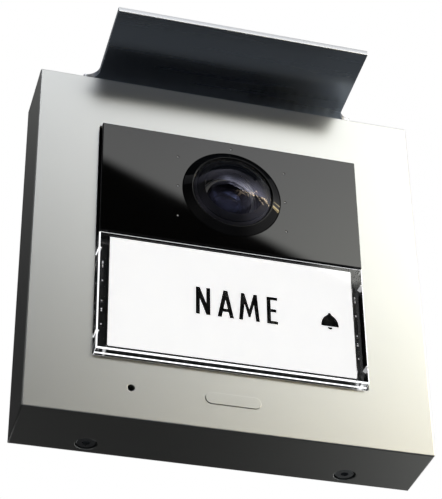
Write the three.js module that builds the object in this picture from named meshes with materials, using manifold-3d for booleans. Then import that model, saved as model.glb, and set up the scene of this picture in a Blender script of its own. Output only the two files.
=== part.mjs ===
// Door intercom panel, wall-mounted, with a camera, a lit bell push and a rain hood.
// Millimetres. Origin at the middle of the face that lies on the wall: +X to the right
// as seen from the street, +Z up, and the front looks along -Y.

import * as THREE from 'three';
import { mergeVertices } from 'three/addons/utils/BufferGeometryUtils.js';
import Module from 'manifold-3d';

const wasm = await Module();
wasm.setup();

// ---------------------------------------------------------------- driving dimensions

// Front case, die-cast aluminium
const CASE_SIZE = 110;
const CASE_DEPTH = 21;
const CASE_WALL = 2.4;
const FRONT_EDGE = 0.35;
const BACK_EDGE = 1.2;
const OPENING = 75;
const LATCH_COLUMN = 47.5;

// Blank badge under the push
const BADGE_HEIGHT = -46;
const BADGE_HALF_WIDTH = 7.5;
const BADGE_RADIUS = 1.7;

// Camera window and bell push, side by side in the opening, standing proud of the metal
const INSERT_WIDTH = 74.2;
const INSERT_PROUD = 2.4;
const INSERT_HALF_HEIGHT = 37.05;
const SPLIT_GAP = 0.35;
const INSERT_EDGE = 0.45;
const WINDOW_THICKNESS = 3;

// Camera
const LENS_HEIGHT = 18.8;
const BEZEL_RADIUS = 14.1;
const BEZEL_PROUD = 1.45;
const GLASS_RADIUS = 11.3;
const DOME_HEIGHT = 4.2;
const LED_COLUMN = 15.5;
const LED_ROWS = [29, 18.9, 8.8];
const LIGHT_SENSOR_HEIGHT = 34.6;

// Bell push
const PUSH_TRAVEL = 0.8;
const COVER_WALL = 1.5;
const COVER_SIDE = 2.9;
const COVER_DEPTH = 4.5;
const CARD_WIDTH = 68;
const CARD_HEIGHT = 35;
const CARD_THICKNESS = 0.3;
const SWITCH_COLUMN = 20;
const SPRING_COLUMN = 30;
const HOOK_COLUMN = 12.5;
const HOOK_ROW = 14.7;
const CARD_LAMP_COLUMN = 10;

// Rain hood, bent from sheet
const HOOD_WIDTH = 74;
const HOOD_ROOT_WIDTH = 82;
const HOOD_SHEET = 1.75;
const HOOD_REACH = 40.3;
const HOOD_FRONT_HEIGHT = 63.9;
const HOOD_ROOT_HEIGHT = 60.8;
const HOOD_FLANGE_FOOT = 33;
const HOOD_FILLET = 4;
const HOOD_ROOT_DEPTH = 12;

// Rear plate, screwed to the wall
const PLATE_THICKNESS = 2.5;
const PLATE_CLEARANCE = 0.4;
const WALL_SCREW_SPACING = 60;
const WALL_SLOT_WIDTH = 5.2;
const WALL_SLOT_LENGTH = 11;
const INLET_HEIGHT = -38;
const INLET_RADIUS = 7;
const CABLE_HOLE_RADIUS = 3.2;

// Fasteners
const CASE_SCREW_COLUMN = 35.2;
const CASE_SCREW_DEPTH = 5.2;
const HOOD_SCREW_COLUMN = 28;
const HOOD_SCREW_HEIGHT = 37;
const FRAME_SCREW_COLUMN = 46;
const FRAME_SCREW_HEIGHT = 34;
const BOARD_SCREW_COLUMN = 37.5;
const BOARD_SCREW_HEIGHT = 38;

// Electronics
const BOARD_THICKNESS = 1.6;
const BOARD_HALF_SIZE = 41;
const MIC_COLUMN = -27.1;
const MIC_HEIGHT = -46;
const MIC_HOLE_RADIUS = 0.95;
const SPEAKER_COLUMN = 24;
const SPEAKER_LENGTH = 34;
const SPEAKER_BREADTH = 12.6;
const TERMINAL_HEIGHT = -18;
const TRIMMER_COLUMN = -26;
const TRIMMER_HEIGHT = -12;

// Depths along Y, worked out from the sizes above
const FRONT = -CASE_DEPTH;
const FRONT_INSIDE = FRONT + CASE_WALL;
const INSERT_FRONT = FRONT - INSERT_PROUD;
const WINDOW_BACK = INSERT_FRONT + WINDOW_THICKNESS;
const SHELF_FRONT = WINDOW_BACK + 0.3;
const SHELF_BACK = SHELF_FRONT + 2;
const FLANGE_FRONT = FRONT_INSIDE + 0.7;
const FLANGE_BACK = FLANGE_FRONT + 1.6;
const FLOOR_FRONT = FLANGE_BACK + 0.3;
const FLOOR_BACK = FLOOR_FRONT + 2;
const CARRIER_FRONT = INSERT_FRONT + COVER_DEPTH + 0.2;
const CARRIER_BACK = FLOOR_FRONT - PUSH_TRAVEL - 0.5;
const CARD_FRONT = INSERT_FRONT + COVER_WALL + 0.05;
const LED_BOARD_FRONT = SHELF_BACK + 2.4;
const LED_BOARD_BACK = LED_BOARD_FRONT + 1.2;
const CAMERA_BOARD_FRONT = LED_BOARD_BACK + 1.9;
const CAMERA_BOARD_BACK = CAMERA_BOARD_FRONT + 1.2;
const BOARD_FRONT = CAMERA_BOARD_BACK + 0.5;
const BOARD_BACK = BOARD_FRONT + BOARD_THICKNESS;
const CASE_INSIDE = CASE_SIZE / 2 - CASE_WALL;
const PLATE_HALF_SIZE = CASE_INSIDE - PLATE_CLEARANCE;
const POCKET_DEPTH = HOOD_SHEET + 0.35;
const PAD_FRONT = -(POCKET_DEPTH + 2.4);
const SPEAKER_DEPTH = -11.3;
const SPEAKER_TOP = CASE_INSIDE - 1.1;

// ---------------------------------------------------------------- solid helpers

/** Turns a closed three.js geometry into a solid that can be cut and joined. */
function toSolid(geometry) {
  geometry.deleteAttribute('normal');
  geometry.deleteAttribute('uv');
  const welded = mergeVertices(geometry, 1e-4);
  return new wasm.Manifold(new wasm.Mesh({
    numProp: 3,
    vertProperties: new Float32Array(welded.attributes.position.array),
    triVerts: new Uint32Array(welded.index.array),
  }));
}

/** Turns a solid back into a three.js geometry. */
function toGeometry(solid) {
  const { vertProperties, triVerts } = solid.getMesh();
  const geometry = new THREE.BufferGeometry();
  geometry.setAttribute('position', new THREE.BufferAttribute(vertProperties, 3));
  geometry.setIndex(new THREE.BufferAttribute(triVerts, 1));
  geometry.computeVertexNormals();
  return geometry;
}

/** A box between two corners, given as a range on each axis. */
function block([x0, x1], [y0, y1], [z0, z1]) {
  const geometry = new THREE.BoxGeometry(x1 - x0, y1 - y0, z1 - z0);
  geometry.translate((x0 + x1) / 2, (y0 + y1) / 2, (z0 + z1) / 2);
  return toSolid(geometry);
}

/** A box of a given width and height, centred on a point of the front view. */
function blockAt(x, z, width, height, [y0, y1]) {
  return block([x - width / 2, x + width / 2], [y0, y1], [z - height / 2, z + height / 2]);
}

/** A round bar along Y, centred on a point of the front view. */
function rod(x, z, radius, [y0, y1], sides = 16) {
  const geometry = new THREE.CylinderGeometry(radius, radius, y1 - y0, sides);
  geometry.translate(x, (y0 + y1) / 2, z);
  return toSolid(geometry);
}

/** A round bar along Z, centred on a point of the plan. */
function post(x, y, radius, [z0, z1], sides = 20) {
  const geometry = new THREE.CylinderGeometry(radius, radius, z1 - z0, sides);
  geometry.rotateX(Math.PI / 2);
  geometry.translate(x, y, (z0 + z1) / 2);
  return toSolid(geometry);
}

/** Spins a closed outline of [radius, height] points about Y, whichever way round it runs. */
function spun(outline, sides) {
  const twiceArea = outline.reduce((sum, [radius, height], index) => {
    const [lastRadius, lastHeight] = outline.at(index - 1);
    return sum + lastRadius * height - radius * lastHeight;
  }, 0);
  const ordered = twiceArea > 0 ? outline : [...outline].reverse();
  const profile = ordered.map(([radius, height]) => new THREE.Vector2(radius, height));
  return new THREE.LatheGeometry(profile, sides);
}

/** A turned piece about an axis along Y through a point of the front view. */
function turned(x, z, outline, sides = 28) {
  return toSolid(spun(outline, sides).translate(x, 0, z));
}

/** Points on a round stretch of an outline, from one angle to another. */
function arc(centreX, centreY, radius, from, to, steps) {
  return Array.from({ length: steps + 1 }, (unused, step) => {
    const angle = from + (to - from) * step / steps;
    return [centreX + radius * Math.cos(angle), centreY + radius * Math.sin(angle)];
  });
}

/** A closed outline as a three.js shape, without points that fall on their neighbour. */
function outlineShape(points) {
  const apart = points.filter(([a, b], index) => {
    const [c, d] = points.at(index - 1);
    return Math.hypot(a - c, b - d) > 1e-3;
  });
  return new THREE.Shape(apart.map(([a, b]) => new THREE.Vector2(a, b)));
}

/** A rectangle in the front view, with rounded corners where a radius is given. */
function rectangle([x0, x1], [z0, z1], radius = 0, steps = 6) {
  if (radius === 0) {
    return outlineShape([[x0, z0], [x1, z0], [x1, z1], [x0, z1]]);
  }
  const quarter = Math.PI / 2;
  return outlineShape([
    ...arc(x1 - radius, z0 + radius, radius, -quarter, 0, steps),
    ...arc(x1 - radius, z1 - radius, radius, 0, quarter, steps),
    ...arc(x0 + radius, z1 - radius, radius, quarter, 2 * quarter, steps),
    ...arc(x0 + radius, z0 + radius, radius, 2 * quarter, 3 * quarter, steps),
  ]);
}

/** Extrudes a front-view shape along Y, with both its rims bevelled if a bevel is given. */
function slab(shape, [y0, y1], bevel = 0, steps = 2) {
  const geometry = new THREE.ExtrudeGeometry(shape, {
    depth: y1 - y0 - 2 * bevel,
    bevelEnabled: bevel > 0,
    bevelThickness: bevel,
    bevelSize: bevel,
    bevelOffset: -bevel,
    bevelSegments: steps,
  });
  geometry.rotateX(Math.PI / 2);
  geometry.translate(0, y1 - bevel, 0);
  return toSolid(geometry);
}

/** A flat insert with its front rim bevelled and its back rim square. */
function insertPlate(xRange, zRange, [y0, y1]) {
  const long = slab(rectangle(xRange, zRange), [y0, y1 + 2], INSERT_EDGE, 2);
  return long.subtract(block([-60, 60], [y1, y1 + 3], [-60, 60]));
}

/** Joins several solids. */
function joined(...solids) {
  return solids.reduce((whole, solid) => whole.add(solid));
}

/** Cuts several solids from one. */
function cut(whole, ...solids) {
  return solids.reduce((left, solid) => left.subtract(solid), whole);
}

// ---------------------------------------------------------------- materials

function finish(color, roughness, metalness = 0, opacity = 1) {
  return new THREE.MeshStandardMaterial({
    color, roughness, metalness, opacity, transparent: opacity < 1,
  });
}

const SATIN_ALUMINIUM = ['#c9cbc6', 0.35, 1];
const HOOD_ALUMINIUM = ['#b9bcbb', 0.3, 1];
const ZINC_STEEL = ['#a9abac', 0.35, 1];
const BRASS = ['#b8974c', 0.35, 1];
const COPPER_SPRING = ['#9a9ca0', 0.3, 1];
const BLACK_GLOSS = ['#0b0c0d', 0.08, 0];
const BLACK_MATT = ['#17181a', 0.6, 0];
const CLEAR = ['#eef2f2', 0.05, 0, 0.35];
const LENS_GLASS = ['#26282e', 0.02, 0, 0.5];
const WHITE_CARD = ['#f6f6f6', 0.7, 0];
const OPAL = ['#eef0ee', 0.5, 0, 0.9];
const GREEN_BOARD = ['#14523a', 0.45, 0];
const GREY_PLASTIC = ['#55585a', 0.6, 0];
const BLUE_PLASTIC = ['#1f4c8c', 0.5, 0];
const GREEN_PLASTIC = ['#2c8a4b', 0.5, 0];
const SOFT_BLACK = ['#202122', 0.85, 0];
const PAPER_CONE = ['#2b2a28', 0.9, 0];
const SENSOR_BLUE = ['#2a3350', 0.2, 0.3];

const panel = new THREE.Group();

/** Adds a solid to the panel as a named piece. */
function addPiece(name, solid, recipe) {
  const mesh = new THREE.Mesh(toGeometry(solid), finish(...recipe));
  mesh.name = name;
  panel.add(mesh);
}

// ---------------------------------------------------------------- case and rear plate

/** The outside of the case: fine front edges and softer edges where it meets the wall. */
function caseOutside() {
  const half = CASE_SIZE / 2;
  const rounded = rectangle([-half, half], [-half, half], 0.5, 2);
  const square = rectangle([-half, half], [-half, half]);
  const fineFront = slab(rounded, [FRONT, BACK_EDGE * 2], FRONT_EDGE);
  const softBack = slab(square, [FRONT - BACK_EDGE * 2, 0], BACK_EDGE, 3);
  return fineFront.intersect(softBack);
}

/** The blank raised badge under the push, a plain lozenge with round ends. */
function blankBadge() {
  const height = [BADGE_HEIGHT - BADGE_RADIUS, BADGE_HEIGHT + BADGE_RADIUS];
  const shape = rectangle([-BADGE_HALF_WIDTH, BADGE_HALF_WIDTH], height, BADGE_RADIUS);
  return slab(shape, [FRONT - 0.25, FRONT + 0.6], 0.1, 1);
}

/** The slots for the speaker, through the top wall where the hood keeps the rain off. */
function soundSlots() {
  const pitch = 3.2;
  return Array.from({ length: 9 }, (unused, index) => {
    const x = SPEAKER_COLUMN + (index - 4) * pitch;
    return block([x - 0.75, x + 0.75], [-15.3, -7.3], [CASE_INSIDE - 1, CASE_SIZE / 2 + 1]);
  });
}

function frontCase() {
  const inside = CASE_INSIDE;
  const half = CASE_SIZE / 2;
  const opening = OPENING / 2;
  let shell = caseOutside();
  shell = shell.subtract(block([-inside, inside], [FRONT_INSIDE, 5], [-inside, inside]));
  shell = shell.subtract(block([-opening, opening], [FRONT - 1, FRONT_INSIDE + 1], [-opening, opening]));
  const openingEdge = slab(
    rectangle([-opening - 0.3, opening + 0.3], [-opening - 0.3, opening + 0.3]),
    [FRONT - 2, FRONT + 0.3], 0.3, 1,
  );
  shell = cut(shell, openingEdge, ...soundSlots());
  shell = shell.subtract(block(
    [-HOOD_ROOT_WIDTH / 2 - 0.4, HOOD_ROOT_WIDTH / 2 + 0.4], [-POCKET_DEPTH, 3], [inside - 1, half + 1],
  ));
  shell = shell.subtract(rod(
    MIC_COLUMN, MIC_HEIGHT, MIC_HOLE_RADIUS, [FRONT - 1, FRONT_INSIDE + 1],
  ));
  for (const side of [-1, 1]) {
    const column = side * CASE_SCREW_COLUMN;
    shell = shell.add(blockAt(column, -inside + 0.7, 10, 1.8, [-9.6, -2.9]));
    shell = shell.subtract(post(column, -CASE_SCREW_DEPTH, 2.95, [-half - 1, -half + 2]));
    shell = shell.subtract(post(column, -CASE_SCREW_DEPTH, 1.75, [-half, -inside + 3]));
    shell = shell.add(blockAt(side * LATCH_COLUMN, inside - 0.9, 7, 2.2, [-6.7, -5]));
    for (const level of [-1, 1]) {
      const height = level * FRAME_SCREW_HEIGHT;
      const boss = rod(side * FRAME_SCREW_COLUMN, height, 3.2, [FRONT_INSIDE - 0.2, FRONT_INSIDE + 4]);
      const bore = rod(side * FRAME_SCREW_COLUMN, height, 1.3, [FRONT_INSIDE + 0.6, FRONT_INSIDE + 5], 16);
      shell = shell.add(boss).subtract(bore);
    }
  }
  return shell.add(blankBadge());
}

/** A slot with round ends for a wall screw, upright, at a point of the rear plate. */
function wallSlot(x, z) {
  const reach = WALL_SLOT_LENGTH / 2;
  const shape = rectangle(
    [x - WALL_SLOT_WIDTH / 2, x + WALL_SLOT_WIDTH / 2], [z - reach, z + reach], WALL_SLOT_WIDTH / 2,
  );
  return slab(shape, [-PLATE_THICKNESS - 1, 1]);
}

function rearPlate() {
  const half = PLATE_HALF_SIZE;
  const pocketHalf = HOOD_ROOT_WIDTH / 2 + 0.4;
  const pocketFoot = HOOD_FLANGE_FOOT - 0.5;
  let plate = block([-half, half], [-PLATE_THICKNESS, 0], [-half, half]);
  plate = plate.add(block([-pocketHalf - 3, pocketHalf + 3], [PAD_FRONT, -1], [pocketFoot - 3, half]));
  plate = plate.subtract(block([-pocketHalf, pocketHalf], [-POCKET_DEPTH, 1], [pocketFoot, half + 1]));
  for (const side of [-1, 1]) {
    const screwColumn = side * CASE_SCREW_COLUMN;
    plate = plate.add(blockAt(screwColumn, -46.9, 9, 7.6, [-9.7, -PLATE_THICKNESS + 0.5]));
    plate = plate.subtract(post(screwColumn, -CASE_SCREW_DEPTH, 2.4, [-52, -44.4]));
    const hoodColumn = side * HOOD_SCREW_COLUMN;
    plate = plate.add(rod(hoodColumn, HOOD_SCREW_HEIGHT, 3.6, [PAD_FRONT - 3.6, PAD_FRONT + 0.5]));
    plate = plate.subtract(rod(hoodColumn, HOOD_SCREW_HEIGHT, 1.5, [PAD_FRONT - 3, 0]));
    plate = plate.add(blockAt(side * LATCH_COLUMN, 49.3, 6, 1.8, [-8.8, -PLATE_THICKNESS + 0.5]));
    plate = plate.add(blockAt(side * LATCH_COLUMN, 50.6, 6, 2.4, [-8.8, -7.1]));
    plate = plate.subtract(wallSlot(side * WALL_SCREW_SPACING / 2, 0));
  }
  plate = plate.subtract(rod(0, INLET_HEIGHT, INLET_RADIUS, [-5, 2], 24));
  return plate.subtract(rod(0, INLET_HEIGHT, INLET_RADIUS + 2, [-1, 1], 24));
}

/** The rubber grommet that seals round the cable in the rear plate. */
function cableGrommet() {
  const [flange, neck, hole] = [INLET_RADIUS + 1.6, INLET_RADIUS - 0.3, CABLE_HOLE_RADIUS];
  const outline = [
    [hole, -0.1], [flange, -0.1], [flange, -0.8], [neck, -0.8], [neck, -2.8], [flange, -2.8],
    [flange - 0.6, -3.9], [hole + 1.8, -4.3], [hole + 1.2, -3], [hole, -2.6], [hole, -0.1],
  ];
  return turned(0, INLET_HEIGHT, outline, 24);
}

// ---------------------------------------------------------------- hood

/** The hood's side view: a blade rising gently forward and a flange down the wall. */
function hoodSideView() {
  const slope = Math.atan2(HOOD_FRONT_HEIGHT - HOOD_ROOT_HEIGHT, HOOD_REACH);
  const innerRadius = 1.2;
  const outerRadius = innerRadius + HOOD_SHEET;
  const wallGap = 0.05;
  const centreY = -wallGap - outerRadius;
  const lowerAtCentre = HOOD_ROOT_HEIGHT - centreY * Math.tan(slope);
  const centreZ = lowerAtCentre - innerRadius / Math.cos(slope);
  const bendStart = Math.PI / 2 - slope;
  const tip = [-HOOD_REACH, HOOD_FRONT_HEIGHT];
  const tipTop = [
    -HOOD_REACH + HOOD_SHEET * Math.sin(slope), HOOD_FRONT_HEIGHT + HOOD_SHEET * Math.cos(slope),
  ];
  return [
    tip,
    ...arc(centreY, centreZ, innerRadius, bendStart, 0, 5),
    [-wallGap - HOOD_SHEET, HOOD_FLANGE_FOOT],
    [-wallGap, HOOD_FLANGE_FOOT],
    ...arc(centreY, centreZ, outerRadius, 0, bendStart, 5),
    tipTop,
  ];
}

/** The hood's plan: a straight blade that widens in a fillet to its root at the wall. */
function hoodPlan() {
  const half = HOOD_WIDTH / 2;
  const root = HOOD_ROOT_WIDTH / 2;
  const fillet = (side) => arc(
    side * root, -HOOD_ROOT_DEPTH - HOOD_FILLET, HOOD_FILLET,
    side > 0 ? Math.PI : 0, Math.PI / 2, 6,
  );
  return [[-half, -60], [half, -60], ...fillet(1), [root, 5], [-root, 5], ...fillet(-1).reverse()];
}

function hood() {
  const sideView = outlineShape(hoodSideView());
  const profile = new THREE.ExtrudeGeometry(sideView, { depth: 100, bevelEnabled: false });
  profile.rotateX(Math.PI / 2);
  profile.rotateZ(Math.PI / 2);
  profile.translate(-50, 0, 0);
  const column = new THREE.ExtrudeGeometry(outlineShape(hoodPlan()), { depth: 60, bevelEnabled: false });
  column.translate(0, 0, 20);
  let sheet = toSolid(profile).intersect(toSolid(column));
  for (const end of [-1, 1]) {
    sheet = sheet.subtract(hoodScrewHole(end * HOOD_SCREW_COLUMN));
  }
  return sheet;
}

/** A countersunk hole through the hood's flange. */
function hoodScrewHole(x) {
  const outline = [[0, 0.5], [3.4, 0.5], [3.2, 0], [1.75, -1.4], [1.75, -3], [0, -3]];
  return turned(x, HOOD_SCREW_HEIGHT, outline, 24);
}

// ---------------------------------------------------------------- screws and inserts

/** A countersunk screw, its head flush with the wall face, its point to the front. */
function hoodScrew(x) {
  const outline = [[0, -0.15], [2.85, -0.15], [1.3, -1.7], [1.3, -6.6], [0.8, -7.2], [0, -7.2]];
  return turned(x, HOOD_SCREW_HEIGHT, outline, 16);
}

/** A low-head socket screw that holds the case to the rear plate from below. */
function caseScrew(x) {
  const bottom = -CASE_SIZE / 2;
  const headTop = bottom + 1.9;
  const head = post(x, -CASE_SCREW_DEPTH, 2.65, [bottom + 0.35, headTop]);
  const shank = post(x, -CASE_SCREW_DEPTH, 1.4, [headTop - 0.2, -45.6], 16);
  const socket = post(x, -CASE_SCREW_DEPTH, 1.15, [bottom, bottom + 1.4], 6);
  return head.add(shank).subtract(socket);
}

/** A threaded brass insert in the rear plate's lug. */
function caseInsert(x) {
  const sleeve = post(x, -CASE_SCREW_DEPTH, 2.2, [-50.3, -45], 24);
  return sleeve.subtract(post(x, -CASE_SCREW_DEPTH, 1.65, [-51, -44], 24));
}

/** A pan-head screw along Y with a cross recess, driven from the wall side. */
function panScrew(x, z, headFront, length, headRadius = 2.4, shankRadius = 1) {
  const head = rod(x, z, headRadius, [headFront, headFront + 1.3]);
  const shank = rod(x, z, shankRadius, [headFront - length, headFront + 0.2], 8);
  const slotA = blockAt(x, z, headRadius * 1.3, 0.5, [headFront + 0.7, headFront + 2]);
  const slotB = blockAt(x, z, 0.5, headRadius * 1.3, [headFront + 0.7, headFront + 2]);
  return cut(head.add(shank), slotA, slotB);
}

// ---------------------------------------------------------------- inner frame

/** The frame's ears, which reach round the case bosses. */
function frameEar(side, level) {
  const earBack = FRONT_INSIDE + 6.2;
  const column = side * FRAME_SCREW_COLUMN;
  const height = level * FRAME_SCREW_HEIGHT;
  const ear = blockAt(column - side * 0.8, height, 9.6, 8, [FRONT_INSIDE + 4.3, earBack]);
  const web = blockAt(side * 41.6, height, 2, 8, [FLANGE_FRONT, earBack]);
  return ear.add(web).subtract(rod(column, height, 1.4, [FRONT_INSIDE + 3, earBack + 1], 16));
}

/** The cradle on the frame's lower edge that carries the microphone's boot. */
function microphoneCradle() {
  const cup = rod(MIC_COLUMN, MIC_HEIGHT, 5.7, [FLANGE_BACK - 0.6, FLOOR_BACK + 1.2], 20);
  const tab = blockAt(MIC_COLUMN, MIC_HEIGHT + 5.4, 7, 5, [FLANGE_BACK - 0.6, FLOOR_BACK]);
  const seat = rod(MIC_COLUMN, MIC_HEIGHT, 4.5, [FLANGE_BACK - 2, FLOOR_BACK + 0.4], 20);
  const wireHole = rod(MIC_COLUMN, MIC_HEIGHT, 1.2, [FLOOR_BACK, FLOOR_BACK + 3], 12);
  return cut(cup.add(tab), seat, wireHole);
}

/** The two brackets that hold the speaker up against the top wall. */
function speakerBrackets() {
  const reach = SPEAKER_LENGTH / 2 + 0.4;
  const brackets = [-1, 1].map((side) => {
    const inner = SPEAKER_COLUMN + side * reach;
    const wallRange = side > 0 ? [inner, inner + 1.6] : [inner - 1.6, inner];
    const ledgeRange = side > 0 ? [inner - 1.4, inner + 0.2] : [inner - 0.2, inner + 1.4];
    const wall = block(wallRange, [FLANGE_FRONT, -6], [40.9, 51]);
    const ledge = block(ledgeRange, [FLANGE_FRONT, -6], [48.2, 49.6]);
    return wall.add(ledge);
  });
  return joined(...brackets);
}

/** Holes in the upper shelf: the lens, the infrared lamps and the light sensor. */
function shelfHoles() {
  const depth = [SHELF_FRONT - 1, SHELF_BACK + 1];
  const columns = [-LED_COLUMN, LED_COLUMN];
  const lamps = LED_ROWS.flatMap((row) => columns.map((column) => rod(column, row, 2.3, depth, 12)));
  const sensor = rod(0, LIGHT_SENSOR_HEIGHT, 2, depth, 12);
  return [rod(0, LENS_HEIGHT, 10.8, depth, 28), ...lamps, sensor];
}

/** Holes in the lower floor: switches, push hooks and the lamps behind the card. */
function floorHoles() {
  const depth = [FLOOR_FRONT - 1, FLOOR_BACK + 1];
  const centre = -INSERT_HALF_HEIGHT / 2;
  const switches = [-1, 1].map((side) => blockAt(side * SWITCH_COLUMN, centre, 7, 7, depth));
  const lamps = [-1, 1].map((side) => rod(side * CARD_LAMP_COLUMN, centre, 2.6, depth, 12));
  const hooks = [-1, 1].flatMap((side) => [-1, 1].map(
    (level) => blockAt(side * HOOK_COLUMN, centre + level * HOOK_ROW, 4.8, 2, depth),
  ));
  return [...switches, ...lamps, ...hooks];
}

function innerFrame() {
  const rim = INSERT_HALF_HEIGHT + 4.4;
  const well = INSERT_WIDTH / 2 + 0.3;
  const centre = -INSERT_HALF_HEIGHT / 2;
  let frame = block([-rim, rim], [FLANGE_FRONT, FLANGE_BACK], [-rim, rim]);
  frame = frame.add(block([-37.1, 37.1], [SHELF_FRONT, FLANGE_BACK], [0.1, 37.1]));
  frame = frame.add(block([-rim, rim], [FLANGE_BACK - 0.1, FLOOR_BACK], [-rim, 0.9]));
  frame = frame.subtract(block([-well, well], [SHELF_FRONT - 1, FLOOR_FRONT], [-well, 0.1]));
  frame = frame.subtract(block([-35.5, 35.5], [SHELF_BACK, FLOOR_BACK + 1], [2.4, 37.5]));
  frame = cut(frame, ...shelfHoles(), ...floorHoles());
  for (const side of [-1, 1]) {
    frame = frame.add(rod(side * SPRING_COLUMN, centre, 3.9, [FLOOR_FRONT + 0.5, FLOOR_BACK + 2.6]));
    frame = frame.subtract(rod(side * SPRING_COLUMN, centre, 2.9, [FLOOR_FRONT - 1, FLOOR_BACK + 1.8]));
    for (const level of [-1, 1]) {
      const height = level * BOARD_SCREW_HEIGHT;
      const footing = level > 0 ? FLANGE_BACK - 0.5 : FLOOR_FRONT + 0.1;
      const column = side * BOARD_SCREW_COLUMN;
      frame = frame.add(rod(column, height, 3, [footing, BOARD_FRONT - 0.15]));
      frame = frame.add(frameEar(side, level));
      if (side === level) {
        frame = frame.subtract(rod(column, height, 1.2, [FLOOR_BACK, BOARD_FRONT + 1], 12));
      } else {
        frame = frame.add(rod(column, height, 1.2, [FLOOR_BACK, BOARD_BACK - 0.2], 12));
      }
    }
  }
  return joined(frame, microphoneCradle(), speakerBrackets());
}

/** The thin seal between the case's front wall and the frame. */
function frameSeal() {
  const outer = INSERT_HALF_HEIGHT + 4.2;
  const inner = OPENING / 2 + 0.4;
  const depth = [FRONT_INSIDE + 0.1, FLANGE_FRONT - 0.1];
  const ring = block([-outer, outer], depth, [-outer, outer]);
  return ring.subtract(block([-inner, inner], [depth[0] - 1, depth[1] + 1], [-inner, inner]));
}

// ---------------------------------------------------------------- camera

function cameraWindow() {
  const half = INSERT_WIDTH / 2;
  const height = [SPLIT_GAP / 2, INSERT_HALF_HEIGHT];
  const plate = insertPlate([-half, half], height, [INSERT_FRONT, WINDOW_BACK]);
  return plate.subtract(rod(0, LENS_HEIGHT, BEZEL_RADIUS + 0.15, [INSERT_FRONT - 1, WINDOW_BACK + 1], 40));
}

/** The sloping ring round the lens, standing proud of the window. */
function lensBezel() {
  const lip = INSERT_FRONT - BEZEL_PROUD;
  const bore = GLASS_RADIUS + 0.12;
  const outline = [
    [10.7, WINDOW_BACK], [BEZEL_RADIUS, WINDOW_BACK], [BEZEL_RADIUS, INSERT_FRONT + 0.15],
    [bore + 0.85, lip + 0.1], [bore + 0.6, lip], [bore, lip + 0.15], [bore, WINDOW_BACK - 0.9],
    [10.7, WINDOW_BACK - 0.9], [10.7, WINDOW_BACK],
  ];
  return turned(0, LENS_HEIGHT, outline, 40);
}

/** Outline points of a spherical cap: from its rim to its tip on the axis. */
function cap(rimRadius, rimDepth, height, steps) {
  const radius = (rimRadius ** 2 + height ** 2) / (2 * height);
  const centre = rimDepth - height + radius;
  const half = Math.asin(rimRadius / radius);
  return Array.from({ length: steps + 1 }, (unused, step) => {
    const angle = half * (1 - step / steps);
    return [step === steps ? 0 : radius * Math.sin(angle), centre - radius * Math.cos(angle)];
  });
}

/** The wide-angle front element: a convex face with a deep hollow behind it. */
function frontElement() {
  const rim = INSERT_FRONT - BEZEL_PROUD + 0.35;
  const back = WINDOW_BACK - 1.1;
  const hollow = cap(8.4, back, 5, 5).reverse();
  const dome = cap(GLASS_RADIUS, rim, DOME_HEIGHT, 6);
  return turned(0, LENS_HEIGHT, [...hollow, [GLASS_RADIUS, back], ...dome], 32);
}

/** The ring that spaces the front element from the barrel. */
function lensSpacer() {
  const outline = [
    [6.9, SHELF_FRONT + 0.1], [10.4, SHELF_FRONT + 0.1], [10.4, WINDOW_BACK - 0.85],
    [8.5, WINDOW_BACK - 0.85], [6.9, SHELF_FRONT - 0.2], [6.9, SHELF_FRONT + 0.1],
  ];
  return turned(0, LENS_HEIGHT, outline);
}

/** The second element, a small convex lens seated in the mouth of the barrel. */
function secondElement() {
  const rim = SHELF_FRONT + 0.5;
  return turned(0, LENS_HEIGHT, [[0, rim + 1.4], [6.4, rim + 1.4], ...cap(6.4, rim, 2, 4)], 24);
}

function lensBarrel() {
  const front = SHELF_FRONT + 0.3;
  const outline = [
    [3.4, CAMERA_BOARD_FRONT - 2.4], [5.8, CAMERA_BOARD_FRONT - 2.4], [5.8, SHELF_BACK + 0.4],
    [10.3, SHELF_BACK + 0.2], [10.3, front], [6.7, front], [6.7, front + 1.9], [3.4, front + 1.9],
    [3.4, CAMERA_BOARD_FRONT - 2.4],
  ];
  return turned(0, LENS_HEIGHT, outline);
}

function lensHolder() {
  const body = blockAt(0, LENS_HEIGHT, 15, 15, [SHELF_BACK + 0.9, CAMERA_BOARD_FRONT - 0.1]);
  const bore = rod(0, LENS_HEIGHT, 6.15, [SHELF_BACK, CAMERA_BOARD_FRONT - 2], 28);
  const room = blockAt(0, LENS_HEIGHT, 11, 11, [CAMERA_BOARD_FRONT - 2.1, CAMERA_BOARD_FRONT + 1]);
  return cut(body, bore, room);
}

function imageSensor() {
  return blockAt(0, LENS_HEIGHT, 8, 8, [CAMERA_BOARD_FRONT - 1, CAMERA_BOARD_FRONT - 0.1]);
}

function cameraBoard() {
  return blockAt(0, LENS_HEIGHT, 34, 26, [CAMERA_BOARD_FRONT, CAMERA_BOARD_BACK]);
}

function lampBoard() {
  const plate = block([-22, 22], [LED_BOARD_FRONT, LED_BOARD_BACK], [4, 37]);
  return plate.subtract(blockAt(0, LENS_HEIGHT, 16, 16, [LED_BOARD_FRONT - 1, LED_BOARD_BACK + 1]));
}

/** A small round-nosed lamp standing on the lamp board. */
function roundNosedLamp(x, z) {
  const base = LED_BOARD_FRONT - 0.1;
  const nose = cap(1.5, SHELF_FRONT + 1.3, 1.2, 3);
  return turned(x, z, [[0, base], [1.9, base], [1.9, base - 0.8], [1.5, base - 0.8], ...nose], 12);
}

// ---------------------------------------------------------------- bell push

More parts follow.
